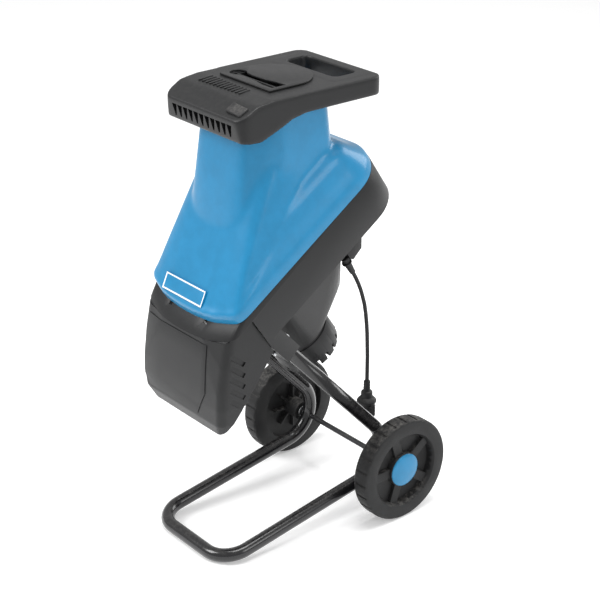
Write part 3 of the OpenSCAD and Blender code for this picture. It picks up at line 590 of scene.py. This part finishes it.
def outline(t, f=0.0):
    """The housing's outline, drawn in by t, its front pushed forward by f."""
    w, front_v = HALF_W, FRONT_V - f
    rear = (arc(w - REAR_R, REAR_V - REAR_R, REAR_R - t, 0, 90, 12)
            + arc(REAR_R - w, REAR_V - REAR_R, REAR_R - t, 90, 180, 12))
    spread = [i * (w - 0.028) / 4 for i in range(-3, 4)]
    front = [(x, front_v + t + FRONT_BOW * (x / w) ** 2) for x in spread]
    corner_v = front_v + FRONT_BOW + FRONT_R
    return (rear + arc(FRONT_R - w, corner_v, FRONT_R - t, 180, 258, 6) + front
            + arc(w - FRONT_R, corner_v, FRONT_R - t, 282, 360, 6))


def block(x, y0, y1, r):
    """A rectangle with round corners, x to each side."""
    return (arc(x - r, y1 - r, r, 0, 90, 6) + arc(r - x, y1 - r, r, 90, 180, 6)
            + arc(r - x, y0 + r, r, 180, 270, 6) + arc(x - r, y0 + r, r, 270, 360, 6))


def neck_plan(x, y0, y1, cx, cy):
    """The neck's outline, its front corners cut off by cx and cy."""
    rear = 0.017
    return [(x - cx, y0), (x, y0 + cy), (x, y1 - rear), (x - rear, y1),
            (rear - x, y1), (-x, y1 - rear), (-x, y0 + cy), (cx - x, y0)]


def body_ring(w, plan):
    """An outline placed at height w over the housing's joint plane."""
    return [at_body(x, v, w) for x, v in plan]


def axle_ring(z, plan):
    """An outline placed level, at height z over the axle."""
    return [at_axle(x, y, z) for x, y in plan]


# ---- the stage ----------------------------------------------------------------------
CAMERA_PLACE = at_axle(2.01136, -1.76729, 1.49956)
CAMERA_TARGET = at_axle(0, -0.10521, 0.31380)
SENSOR = 36
FLOOR_SIZE = 14
WORLD_LIGHT = 0.62
FLOOR_GLOW = 0.28
LAMPS = (  # name, place, watts, size
    ("key", (-1.4, -2.5, 2.7), 74, 1.5),
    ("side", (3.4, 0.6, 1.9), 22, 1.4),
    ("top", (0.3, 0.0, 3.2), 64, 1.6),
    ("back", (0.4, 2.9, 1.8), 30, 1.6),
)


def floor_material(colour):
    """A pale matt floor with a faint cloudiness."""
    m = bpy.data.materials.new("pale floor")
    m.use_nodes = True
    tree = m.node_tree
    p = tree.nodes["Principled BSDF"]
    p.inputs["Roughness"].default_value = 0.75
    p.inputs["Specular IOR Level"].default_value = 0.2
    p.inputs["Emission Color"].default_value = (1, 1, 1, 1)
    p.inputs["Emission Strength"].default_value = FLOOR_GLOW
    coord = tree.nodes.new("ShaderNodeTexCoord").outputs["Object"]
    tint = mix_colours(tree, noise(tree, coord, 6.0, 3.0), (*colour, 1), (*(0.985 * k for k in colour), 1))
    tree.links.new(tint, p.inputs["Base Color"])
    return m


class CHIPPER_OT_stage(bpy.types.Operator):
    """Adds the camera, the floor and the lights"""
    bl_idname = "chipper.stage"
    bl_label = "Stage"

    def execute(self, context):
        scene = context.scene
        bpy.ops.object.select_all(action="DESELECT")
        bpy.ops.object.camera_add(location=CAMERA_PLACE, rotation=facing(CAMERA_PLACE, CAMERA_TARGET))
        camera = context.object
        camera.name = "camera"
        camera.data.lens = scene.chipper_sizes.lens
        camera.data.sensor_width = SENSOR
        scene.camera = camera
        bpy.ops.object.select_all(action="DESELECT")
        bpy.ops.mesh.primitive_plane_add(size=FLOOR_SIZE, location=(0, 0, 0))
        floor = context.object
        floor.name = "floor"
        floor.data.materials.append(floor_material(tuple(scene.chipper_colours.floor)))
        world = bpy.data.worlds.new("studio")
        world.use_nodes = True
        background = world.node_tree.nodes["Background"]
        background.inputs["Color"].default_value = (1, 1, 1, 1)
        background.inputs["Strength"].default_value = WORLD_LIGHT
        scene.world = world
        middle = at_axle(0, -0.1, 0.35)
        for name, place, watts, size in LAMPS:
            bpy.ops.object.light_add(type="AREA", location=place, rotation=facing(place, middle))
            lamp = context.object
            lamp.name = name
            lamp.data.energy = watts
            lamp.data.size = size
        scene.view_settings.view_transform = "Standard"
        return {"FINISHED"}


# ---- the cord and its plug ----------------------------------------------------------
CORD = [(-52.3, 401.5), (-47, 393), (-39, 380.2), (-31, 367.4), (-24.5, 356), (-18, 343), (-12, 329),
        (-7, 314), (-2, 297), (1.5, 278), (4, 258), (6, 236), (7, 212), (8, 188), (8, 164), (8, 150), (8, 136)]
CORD_X = 0.060
DOWN = Vector((0, 0, -1))
PLUG_TOP = at_axle(CORD_X, 0.008, 0.136)
PLUG_RINGS = [  # radius, distance below the cord's end: sleeve, neck, flange, grip
    (0.0061, 0.0001), (0.0064, 0.004), (0.0058, 0.006), (0.0066, 0.009), (0.0060, 0.011), (0.0068, 0.014),
    (0.0063, 0.016), (0.0070, 0.0205), (0.0102, 0.0215), (0.0110, 0.0235), (0.0110, 0.033), (0.0140, 0.0345),
    (0.0178, 0.0385), (0.0185, 0.0400), (0.0185, 0.0425), (0.0178, 0.0434), (0.0164, 0.0438), (0.0160, 0.046),
    (0.0160, 0.0725), (0.0153, 0.0739)]
PIN_RINGS = [(0.0024, 0.0700), (0.0024, 0.0900), (0.0022, 0.0918), (0.0015, 0.0929)]
PIN_X = 0.0095
PIN_SIDES = 24
GRIP_RIBS = 7
GRIP_STEP = 0.0032


def plug_grip():
    """The moulded plug with finger ribs on both sides."""
    plug = lathe("plug_grip", PLUG_RINGS, PLUG_TOP, DOWN)
    for side in (-1, 1):
        for k in range(GRIP_RIBS):
            place = PLUG_TOP + Vector((side * 0.0158, 0, -0.049 - k * GRIP_STEP))
            plug = merge(plug, cube("rib", place, (0.0016, 0.016, 0.0014)))
    edit(plug)
    bpy.ops.mesh.select_all(action="SELECT")
    bpy.ops.mesh.normals_make_consistent(inside=False)
    bpy.ops.object.mode_set(mode="OBJECT")
    return done(plug, "cord_rubber", "root", "plug_body")


def plug_contacts():
    """The two round contacts."""
    pins = [lathe("pin", PIN_RINGS, PLUG_TOP + Vector((side * PIN_X, 0, 0)), DOWN, PIN_SIDES) for side in (-1, 1)]
    return done(join(pins, "plug_contacts"), "brass", "root", "plug_pins")


class CHIPPER_OT_cord(bpy.types.Operator):
    """Adds the power cord on its route, with its plug"""
    bl_idname = "chipper.cord"
    bl_label = "Power cord"

    def execute(self, context):
        d = context.scene.chipper_sizes.cord_d
        curve = bpy.data.curves.new("power_lead", "CURVE")
        curve.dimensions = "3D"
        curve.bevel_depth = d / 2
        curve.bevel_resolution = 6
        curve.use_fill_caps = True
        route = [at_axle(CORD_X, y / 1000, z / 1000) for y, z in CORD]
        spline = curve.splines.new("POLY")
        spline.points.add(len(route) - 1)
        for point, place in zip(spline.points, route):
            point.co = (*place, 1)
        cord = bpy.data.objects.new("power_lead", curve)
        context.scene.collection.objects.link(cord)
        curve.materials.append(material("cord_rubber"))
        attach(cord, "root")
        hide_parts("power_cord")
        plug_grip()
        plug_contacts()
        return {"FINISHED"}


# ---- the hopper ---------------------------------------------------------------------
COVER_VOXEL = 0.0032
COVER_SMOOTH_ANGLE = 60
SLOPE_W = 0.006
SLOPE_TOP = at_body(0, -0.0405, 0.0973)
SLOPE_FOOT = at_body(0, SLOPE_V, SLOPE_W)


def neck_round(x, y0, y1, cx, cy, bulge):
    """The neck's outline with its front pushed forward in a curve."""
    front = [(k * (x - cx) / 4, y0 - bulge * math.sqrt(1 - (k / 4) ** 2)) for k in range(-4, 5)]
    return front + neck_plan(x, y0, y1, cx, cy)[1:7]


def slope_plan(x, v):
    """The foot of the front slope: straight in the middle, drawn back at its corners."""
    right = [(0.050, v), (x - 0.021, v + 0.0085), (x, v + 0.020), (x, -0.060)]
    return [(-a, b) for a, b in reversed(right)] + right


class CHIPPER_OT_cover(bpy.types.Operator):
    """Adds the blue cover with its neck and shoulders"""
    bl_idname = "chipper.cover"
    bl_label = "Blue cover"

    def execute(self, context):
        sizes = context.scene.chipper_sizes
        h = HALF_W
        brim = (body_ring(-0.060, outline(0.0004)) + body_ring(0.0005, outline(0.0004))
                + body_ring(0.008, outline(0.0016)))
        mid = body_ring(0.034, block(h - 0.011, -0.095, 0.196, 0.046))
        dome = (body_ring(0.058, block(h - 0.018, -0.030, 0.182, 0.038))
                + body_ring(0.086, block(h - 0.038, 0.020, 0.150, 0.030)))
        low = axle_ring(0.541, neck_plan(NECK_X + 0.004, -0.288, -0.150, 0.025, 0.064))
        neck = (axle_ring(TOP_LOW + 0.030, neck_plan(NECK_X, -0.264, -0.110, 0.030, 0.057))
                + axle_ring(TOP_LOW - 0.071, neck_round(NECK_X + 0.002, -0.272, -0.099, 0.028, 0.060, 0.008))
                + axle_ring(0.500, neck_round(NECK_X + 0.005, -0.2945, -0.150, 0.025, 0.066, 0.010)))
        slope = (axle_ring(0.620, block(0.0905, -0.2535, -0.150, 0.034)) + low
                 + body_ring(SLOPE_W, slope_plan(h - 0.006, SLOPE_V)))
        cover = from_points("hopper_shell", [brim + mid, mid + dome, neck + low, slope])
        soften(cover, COVER_VOXEL, sizes.cover_soft)
        trim(cover, at_body(0, 0, -SKIRT), -BODY_UP)
        trim(cover, at_axle(0, 0, TOP_LOW + 0.0025), (0, 0, 1))
        modify(cover, "SOLIDIFY", thickness=sizes.shell_wall, offset=-1.0, use_even_offset=True)
        done(cover, "moulded_blue", "hopper", "hopper_cover", angle=COVER_SMOOTH_ANGLE)
        return {"FINISHED"}


PLATE = (0.112, 0.029, 0.0070)
PLATE_EDGE = 0.0012
PLATE_LINE = 0.0016


class CHIPPER_OT_name_plate(bpy.types.Operator):
    """Adds the blank outlined plate at the foot of the front slope"""
    bl_idname = "chipper.name_plate"
    bl_label = "Name plate"

    def execute(self, context):
        across = Vector((1, 0, 0))
        up = (SLOPE_TOP - SLOPE_FOOT).normalized()
        out = across.cross(up)
        turn = Matrix((across, up, out)).transposed().to_euler()
        centre = at_body(-0.010, SLOPE_V, SLOPE_W) + up * 0.0195 + out * 0.0002
        plate = cube("name_plate", centre, PLATE, turn)
        edit(plate)
        pick_faces(plate, lambda c, n: n.dot(out) > 0.9)
        bpy.ops.mesh.inset(thickness=PLATE_EDGE, depth=0)
        bpy.ops.mesh.inset(thickness=PLATE_LINE, depth=-0.0005)
        bpy.ops.object.mode_set(mode="OBJECT")
        bevel(plate, 0.0003, 2)
        done(plate, "moulded_blue", "hopper")
        plate.data.materials.append(material("label_white"))
        for f in plate.data.polygons:
            if f.normal.dot(out) > 0.9 and (f.center - centre).dot(out) > 0.0032:
                f.material_index = 1
        return {"FINISHED"}


TRAY_VOXEL = 0.0026
TRAY_WALL = 0.007
TRAY_KNEE = -0.246
GRIP_Y = -0.060
GRIP_HOLE = (0.134, 0.050, 0.12)
GRIP_BROW = (0.166, 0.080, 0.008)
GRIP_WALL = (0.142, 0.058, 0.12)
FEED_HOLE = (0.116, 0.054, 0.05)
SLOTS_EACH_SIDE = 5
SLOT_STEP = 0.0150


def tray_profile():
    """The tray's side view, from its rear lower edge round over the top."""
    top, low, f, back = TOP_RISE, TOP_LOW, TOP_FRONT, TOP_BACK
    return [(back, low), (back, top), (TRAY_KNEE, top), (f + 0.038, top - 0.004), (f, top - 0.024),
            (f + 0.007, low - 0.030), (f + 0.044, low - 0.033), (f + 0.060, low - 0.027),
            (-0.228, low - 0.016), (-0.206, low - 0.006), (-0.178, low)]


def tray_plan():
    """The tray from above: round corners, with the front ones drawn out a little."""
    rear, front = 0.024, 0.022
    x = TOP_HALF
    return (arc(x - rear, TOP_BACK - rear, rear, 0, 90, 8) + arc(rear - x, TOP_BACK - rear, rear, 90, 180, 8)
            + arc(0.026 - x, TOP_FRONT + front, front, 180, 262, 8)
            + arc(x - 0.026, TOP_FRONT + front, front, 278, 360, 8))


def air_slot(x):
    """A cutter for one air slot, wide at its top and narrow at its foot."""
    y, high, low = TOP_FRONT - 0.010, TOP_LOW - 0.001, TOP_LOW - 0.022
    corners = ((-0.0064, high), (0.0064, high), (0.0016, low), (-0.0016, low))
    return prism("slot", [at_axle(x + dx, y, z) for dx, z in corners], Vector((0, 0.030, 0)))


class CHIPPER_OT_tray(bpy.types.Operator):
    """Adds the top tray with its grip hole, feed hole and air slots"""
    bl_idname = "chipper.tray"
    bl_label = "Top tray"

    def execute(self, context):
        sizes = context.scene.chipper_sizes
        top, low, back = TOP_RISE, TOP_LOW, TOP_BACK
        tray = prism("tray", [at_axle(-0.2, y, z) for y, z in tray_profile()], Vector((0.4, 0, 0)))
        common(tray, prism("plan", [at_axle(x, y, 0.5) for x, y in tray_plan()], Vector((0, 0, 0.4))))
        hole = bevel(cube("hole", at_axle(0, GRIP_Y, top - 0.02), GRIP_HOLE), 0.010, 4)
        merge(tray, bevel(cube("brow", at_axle(0, GRIP_Y, top - 0.002), GRIP_BROW), 0.003, 3))
        carve(tray, hole)
        soften(tray, TRAY_VOXEL, sizes.tray_soft)
        for v in tray.data.vertices:
            v.co.z = min(v.co.z, AXLE_Z + top + 0.0004)
        inside = ((back - TRAY_WALL, low - 0.05), (back - TRAY_WALL, top - 0.007), (TRAY_KNEE, top - 0.008),
                  (-0.262, top - 0.011), (-0.262, low - 0.05))
        hollow = prism("hollow", [at_axle(TRAY_WALL - TOP_HALF, y, z) for y, z in inside],
                       Vector((2 * (TOP_HALF - TRAY_WALL), 0, 0)))
        carve(hollow, cube("grip_wall", at_axle(0, GRIP_Y, top - 0.02), GRIP_WALL))
        carve(tray, hollow)
        collar = neck_plan(NECK_X + 0.0016, -0.271, -0.108, 0.029, 0.059)
        carve(tray, prism("collar", [at_axle(x, y, low - 0.06) for x, y in collar], Vector((0, 0, 0.0665))))
        carve(tray, cube("feed", at_axle(0, -0.178, top), FEED_HOLE))
        for i in range(-SLOTS_EACH_SIDE, SLOTS_EACH_SIDE + 1):
            carve(tray, air_slot(i * SLOT_STEP))
        done(tray, "moulded_black", "hopper", "hopper_top", angle=40)
        return {"FINISHED"}


RIDGES = 12
RIDGE_STEP = 0.0096
RIDGE = (0.0036, 0.030, 0.0030)
RIDGE_TAPER = 0.0006
PAD = (0.038, 0.021, 0.0060)
PAD_TILT = 27.8


class CHIPPER_OT_tray_ridges(bpy.types.Operator):
    """Adds the short ridges before the plunger"""
    bl_idname = "chipper.tray_ridges"
    bl_label = "Tray ridges"

    def execute(self, context):
        ridges = []
        for k in range(RIDGES):
            place = at_axle(-0.0705 + k * RIDGE_STEP, -0.2520, TOP_RISE - 0.0006)
            size = (RIDGE[0], RIDGE[1] - RIDGE_TAPER * k, RIDGE[2])
            ridges.append(bevel(cube("ridge", place, size, (math.radians(3), 0, 0)), 0.0011, 3))
        done(join(ridges, "tray_ridges"), "moulded_black", "hopper")
        return {"FINISHED"}


class CHIPPER_OT_tray_pad(bpy.types.Operator):
    """Adds the rubber pad on the tray's front corner"""
    bl_idname = "chipper.tray_pad"
    bl_label = "Tray pad"

    def execute(self, context):
        turn = (math.radians(PAD_TILT), math.radians(4), 0)
        pad = bevel(cube("tray_pad", at_axle(0.0760, -0.2985, TOP_RISE - 0.0125), PAD, turn), 0.0029, 4)
        done(pad, "cord_rubber", "hopper")
        return {"FINISHED"}


GRIP_HALF = 0.068
GRIP_FRONT = -0.225
GRIP_MID = -0.165
GRIP_RISE = 0.0036
FINGER_ROUND = (-0.051, -0.198, 0.0150)
FINGER_WAIST = [(-0.050, -0.2090), (-0.022, -0.2060), (0.010, -0.2075), (0.034, -0.2125), (0.058, -0.2130),
                (0.058, -0.1830), (0.034, -0.1850), (0.010, -0.1900), (-0.022, -0.1915), (-0.050, -0.1870)]


class CHIPPER_OT_plunger_grip(bpy.types.Operator):
    """Adds the plunger's half-round plate with its waisted finger slot"""
    bl_idname = "chipper.plunger_grip"
    bl_label = "Plunger grip"

    def execute(self, context):
        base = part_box("plunger_head")[0][2]
        plan = [(-GRIP_HALF, GRIP_FRONT), (GRIP_HALF, GRIP_FRONT)] + arc(0, GRIP_MID, GRIP_HALF, 0, 180, 40)
        grip = prism("plunger_grip", [Vector((x, AXLE_Y + y, base)) for x, y in plan], Vector((0, 0, GRIP_RISE)))
        for hole in (arc(*FINGER_ROUND, 0, 345, 23), FINGER_WAIST):
            foot = [Vector((x, AXLE_Y + y, base - 0.01)) for x, y in hole]
            carve(grip, prism("finger", foot, Vector((0, 0, 0.03))))
        bevel(grip, 0.0011, 3)
        done(grip, "moulded_black", "plunger", "plunger_head")
        return {"FINISHED"}


# ---- the discharge chute ------------------------------------------------------------
CHUTE_VOXEL = 0.0026
CHUTE_CORNER = 0.015
CHUTE_LEVELS = (  # height over the axle, half width, front, bow of the front
    (0.420, HALF_W - 0.005, -0.341, 0.007), (0.336, HALF_W - 0.005, -0.358, 0.010),
    (0.300, HALF_W - 0.005, -0.3665, 0.006), (0.252, HALF_W - 0.006, -0.3735, 0.003),
    (0.222, HALF_W - 0.006, -0.3765, 0.0008), (0.190, HALF_W - 0.010, -0.3745, 0.001),
    (0.163, HALF_W - 0.022, -0.360, 0.002))
CHUTE_REAR = -0.180
MOUTH_EDGE = at_axle(0, -0.348, 0.186)
MOUTH_TILT = math.radians(54)
PANEL_RISE = 0.0012
PANEL = ((-0.104, 0.330), (0.071, 0.330), (0.074, 0.243), (0.050, 0.196), (-0.092, 0.196), (-0.106, 0.214))
LOUVRES = 5
LOUVRE_STEP = 0.021
LOUVRE = (0.0135, 0.036, 0.0085)
LOUVRE_TILT = -38
BODY_BACK = Vector((0, math.cos(TILT), math.sin(TILT)))


def chute_plan(x, y0, bow):
    """One level of the chute: round front corners and a bowed front."""
    r = CHUTE_CORNER
    right = arc(x - r, y0 + r - min(bow, 0.0025), r, 0, -80, 6)
    left = [(-a, b) for a, b in reversed(right)]
    return [(x, CHUTE_REAR)] + right + [(x * 0.5, y0 - bow), (-x * 0.5, y0 - bow)] + left + [(-x, CHUTE_REAR)]


def chute_solid(name, narrow, back):
    """The chute's full form, made narrower and set back by the given amounts."""
    return from_points(name, [[p for z, x, y0, bow in CHUTE_LEVELS
                               for p in axle_ring(z, chute_plan(x - narrow, y0 + back, bow))]])


def joint_shelf():
    """A thin shelf inside the chute's top edge that closes the joint under the housing's band."""
    shelf = chute_solid("shelf", 0.0015, 0.0030)
    trim(shelf, at_body(0, 0, -BAND_H - 0.0006), BODY_UP, True)
    trim(shelf, at_body(0, 0, -BAND_H - 0.0036), -BODY_UP, True)
    trim(shelf, at_body(0, CHUTE_V - 0.0015, 0), BODY_BACK, True)
    bore = outline(0.0080, 0.0235)
    carve(shelf, from_points("bore", [body_ring(-BAND_H + 0.01, bore) + body_ring(-BAND_H - 0.03, bore)]))
    return shelf


class CHIPPER_OT_chute(bpy.types.Operator):
    """Adds the discharge chute with its raised front panel and louvred sides"""
    bl_idname = "chipper.chute"
    bl_label = "Discharge chute"

    def execute(self, context):
        sizes = context.scene.chipper_sizes
        chute = chute_solid("chute_shell", PANEL_RISE / 4, PANEL_RISE)
        face = chute_solid("face", 0.0, 0.0)
        soften(chute, CHUTE_VOXEL, sizes.chute_soft)
        for part in (chute, face):
            trim(part, at_body(0, 0, -BAND_H - 0.0003), BODY_UP, part is face)
            trim(part, at_body(0, CHUTE_V - 0.0003, 0), BODY_BACK, part is face)
        trim(chute, MOUTH_EDGE, Vector((0, math.sin(MOUTH_TILT), -math.cos(MOUTH_TILT))))
        modify(chute, "SOLIDIFY", thickness=sizes.shell_wall, offset=-1.0, use_even_offset=True)
        panel = prism("panel", [at_axle(x, -0.420, z) for x, z in PANEL], Vector((0, 0.06, 0)))
        common(panel, face)
        bevel(panel, 0.0009, 3, 30)
        merge(chute, panel)
        for side in (-1, 1):
            for k in range(LOUVRES):
                place = at_axle(side * (HALF_W - 0.0010), -0.3385, 0.226 + k * LOUVRE_STEP)
                carve(chute, cube("louvre", place, LOUVRE, (math.radians(LOUVRE_TILT), 0, 0)))
        chute = join([chute, joint_shelf()], "chute_shell")
        done(chute, "moulded_black", "root", "discharge_chute", angle=50)
        return {"FINISHED"}


# ---- pieces refined from the frame ---------------------------------------------------
class CHIPPER_OT_housing(bpy.types.Operator):
    """Adds the housing, motor cover, motor cap, switch case and cord relief with rounded edges"""
    bl_idname = "chipper.housing"
    bl_label = "Housing"

    def execute(self, context):
        edge = context.scene.chipper_sizes.edge
        for node, name, slot, width in (("base_housing", "housing_shell", "moulded_black", edge),
                                        ("motor_cover", "motor_bell", "moulded_black", 0.0),
                                        ("motor_end_grille", "motor_cap", "moulded_black", edge * 0.6),
                                        ("switch_box", "switch_case", "moulded_black", edge * 1.6),
                                        ("cable_gland", "cord_relief", "cord_rubber", edge * 0.4)):
            done(refined(node, name, width), slot, "root", node)
        return {"FINISHED"}


class CHIPPER_OT_controls(bpy.types.Operator):
    """Adds the lock handwheel, the three buttons and the hinge hooks"""
    bl_idname = "chipper.controls"
    bl_label = "Controls"

    def execute(self, context):
        for node, name, slot, body, width in (
                ("lock_knob", "lock_handwheel", "moulded_black", "lock_knob", 0.0010),
                ("button_on", "on_key", "button_green", "on_button", 0.0010),
                ("button_off", "off_key", "button_red", "off_button", 0.0010),
                ("reset_button", "reset_key", "button_red", "reset_button", 0.0008),
                ("hinge_arms", "hinge_hooks", "moulded_black", "hopper", 0.0005)):
            done(refined(node, name, width, 3), slot, body, node)
        return {"FINISHED"}


class CHIPPER_OT_chassis(bpy.types.Operator):
    """Adds the painted tubes, the axle and the bolts"""
    bl_idname = "chipper.chassis"
    bl_label = "Chassis"

    def execute(self, context):
        for node, name, slot, width in (("chassis_tube", "chassis_frame", "tube_black", 0.0),
                                        ("axle", "wheel_axle", "steel", 0.0006),
                                        ("axle_washers", "washers", "steel", 0.0003),
                                        ("axle_caps", "push_caps", "steel", 0.0005),
                                        ("frame_bolts", "bolts", "steel", 0.0006),
                                        ("frame_nuts", "nuts", "steel", 0.0005)):
            piece = done(refined(node, name, width), slot, "root", node, angle=40)
            if node in ("axle", "axle_caps"):
                piece.data.materials[0] = material("blackened")
        return {"FINISHED"}


CAP_RINGS = [  # share of the radius, distance behind the cap's crown
    (0.985, -0.0072), (1.0, -0.0064), (0.997, -0.0052), (0.965, -0.0043), (0.86, -0.0031), (0.72, -0.0020),
    (0.55, -0.0011), (0.36, -0.00045), (0.16, -0.0001), (0.02, 0.0)]


class CHIPPER_OT_wheels(bpy.types.Operator):
    """Adds the two wheels with tread lugs and spokes"""
    bl_idname = "chipper.wheels"
    bl_label = "Wheels"

    def execute(self, context):
        for side in ("left", "right"):
            wheel = refined("wheel_" + side, side + "_wheel", 0.0009)
            done(wheel, "wheel_black", "wheel_" + side, "wheel_" + side, angle=40)
        return {"FINISHED"}


class CHIPPER_OT_wheel_caps(bpy.types.Operator):
    """Adds the domed blue caps on the wheels"""
    bl_idname = "chipper.wheel_caps"
    bl_label = "Wheel caps"

    def execute(self, context):
        for side, sign in (("left", -1), ("right", 1)):
            low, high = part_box("hub_cap_" + side)
            crown = max(abs(low[0]), abs(high[0]))
            r = (high[1] - low[1]) / 2
            rings = [(r * share, depth) for share, depth in CAP_RINGS]
            cap = lathe(side + "_cap", rings, Vector((sign * crown, AXLE_Y, AXLE_Z)), (sign, 0, 0), 72)
            done(cap, "moulded_blue", "wheel_" + side, "hub_cap_" + side, angle=50)
        return {"FINISHED"}


class CHIPPER_OT_finishes(bpy.types.Operator):
    """Gives every node of the frame its own finish"""
    bl_idname = "chipper.finishes"
    bl_label = "Finishes"

    def execute(self, context):
        for part in frame["record"]["subparts"]:
            materials = frame["nodes"][part["node"]].data.materials
            materials.clear()
            materials.append(material(part["material_slot"]))
        return {"FINISHED"}


# ---- the add-on ---------------------------------------------------------------------
class CHIPPER_PT_panel(bpy.types.Panel):
    """Lists the pieces in the sidebar"""
    bl_idname = "CHIPPER_PT_panel"
    bl_label = "Garden Chipper"
    bl_space_type = "VIEW_3D"
    bl_region_type = "UI"
    bl_category = "Chipper"

    def draw(self, context):
        for piece in PIECES:
            self.layout.operator(piece.bl_idname)
        for group_name in ("chipper_sizes", "chipper_colours"):
            settings = getattr(context.scene, group_name)
            for key in settings.bl_rna.properties.keys():
                if key not in ("rna_type", "name"):
                    self.layout.prop(settings, key)


PIECES = (CHIPPER_OT_stage, CHIPPER_OT_cord, CHIPPER_OT_cover, CHIPPER_OT_name_plate, CHIPPER_OT_tray,
          CHIPPER_OT_tray_ridges, CHIPPER_OT_tray_pad, CHIPPER_OT_chute, CHIPPER_OT_housing, CHIPPER_OT_controls,
          CHIPPER_OT_plunger_grip, CHIPPER_OT_chassis, CHIPPER_OT_wheels, CHIPPER_OT_wheel_caps,
          CHIPPER_OT_finishes)
CLASSES = (ChipperColours, ChipperSizes, *PIECES, CHIPPER_PT_panel)


def register():
    for cls in CLASSES:
        bpy.utils.register_class(cls)
    bpy.types.Scene.chipper_colours = PointerProperty(type=ChipperColours)
    bpy.types.Scene.chipper_sizes = PointerProperty(type=ChipperSizes)


def unregister():
    del bpy.types.Scene.chipper_sizes
    del bpy.types.Scene.chipper_colours
    for cls in reversed(CLASSES):
        bpy.utils.unregister_class(cls)


def main():
    register()
    bpy.ops.chipper.stage()
    bpy.ops.chipper.cord()
    bpy.ops.chipper.cover()
    bpy.ops.chipper.name_plate()
    bpy.ops.chipper.tray()
    bpy.ops.chipper.tray_ridges()
    bpy.ops.chipper.tray_pad()
    bpy.ops.chipper.chute()
    bpy.ops.chipper.housing()
    bpy.ops.chipper.controls()
    bpy.ops.chipper.plunger_grip()
    bpy.ops.chipper.chassis()
    bpy.ops.chipper.wheels()
    bpy.ops.chipper.wheel_caps()
    bpy.ops.chipper.finishes()


if __name__ == "__main__":
    main()
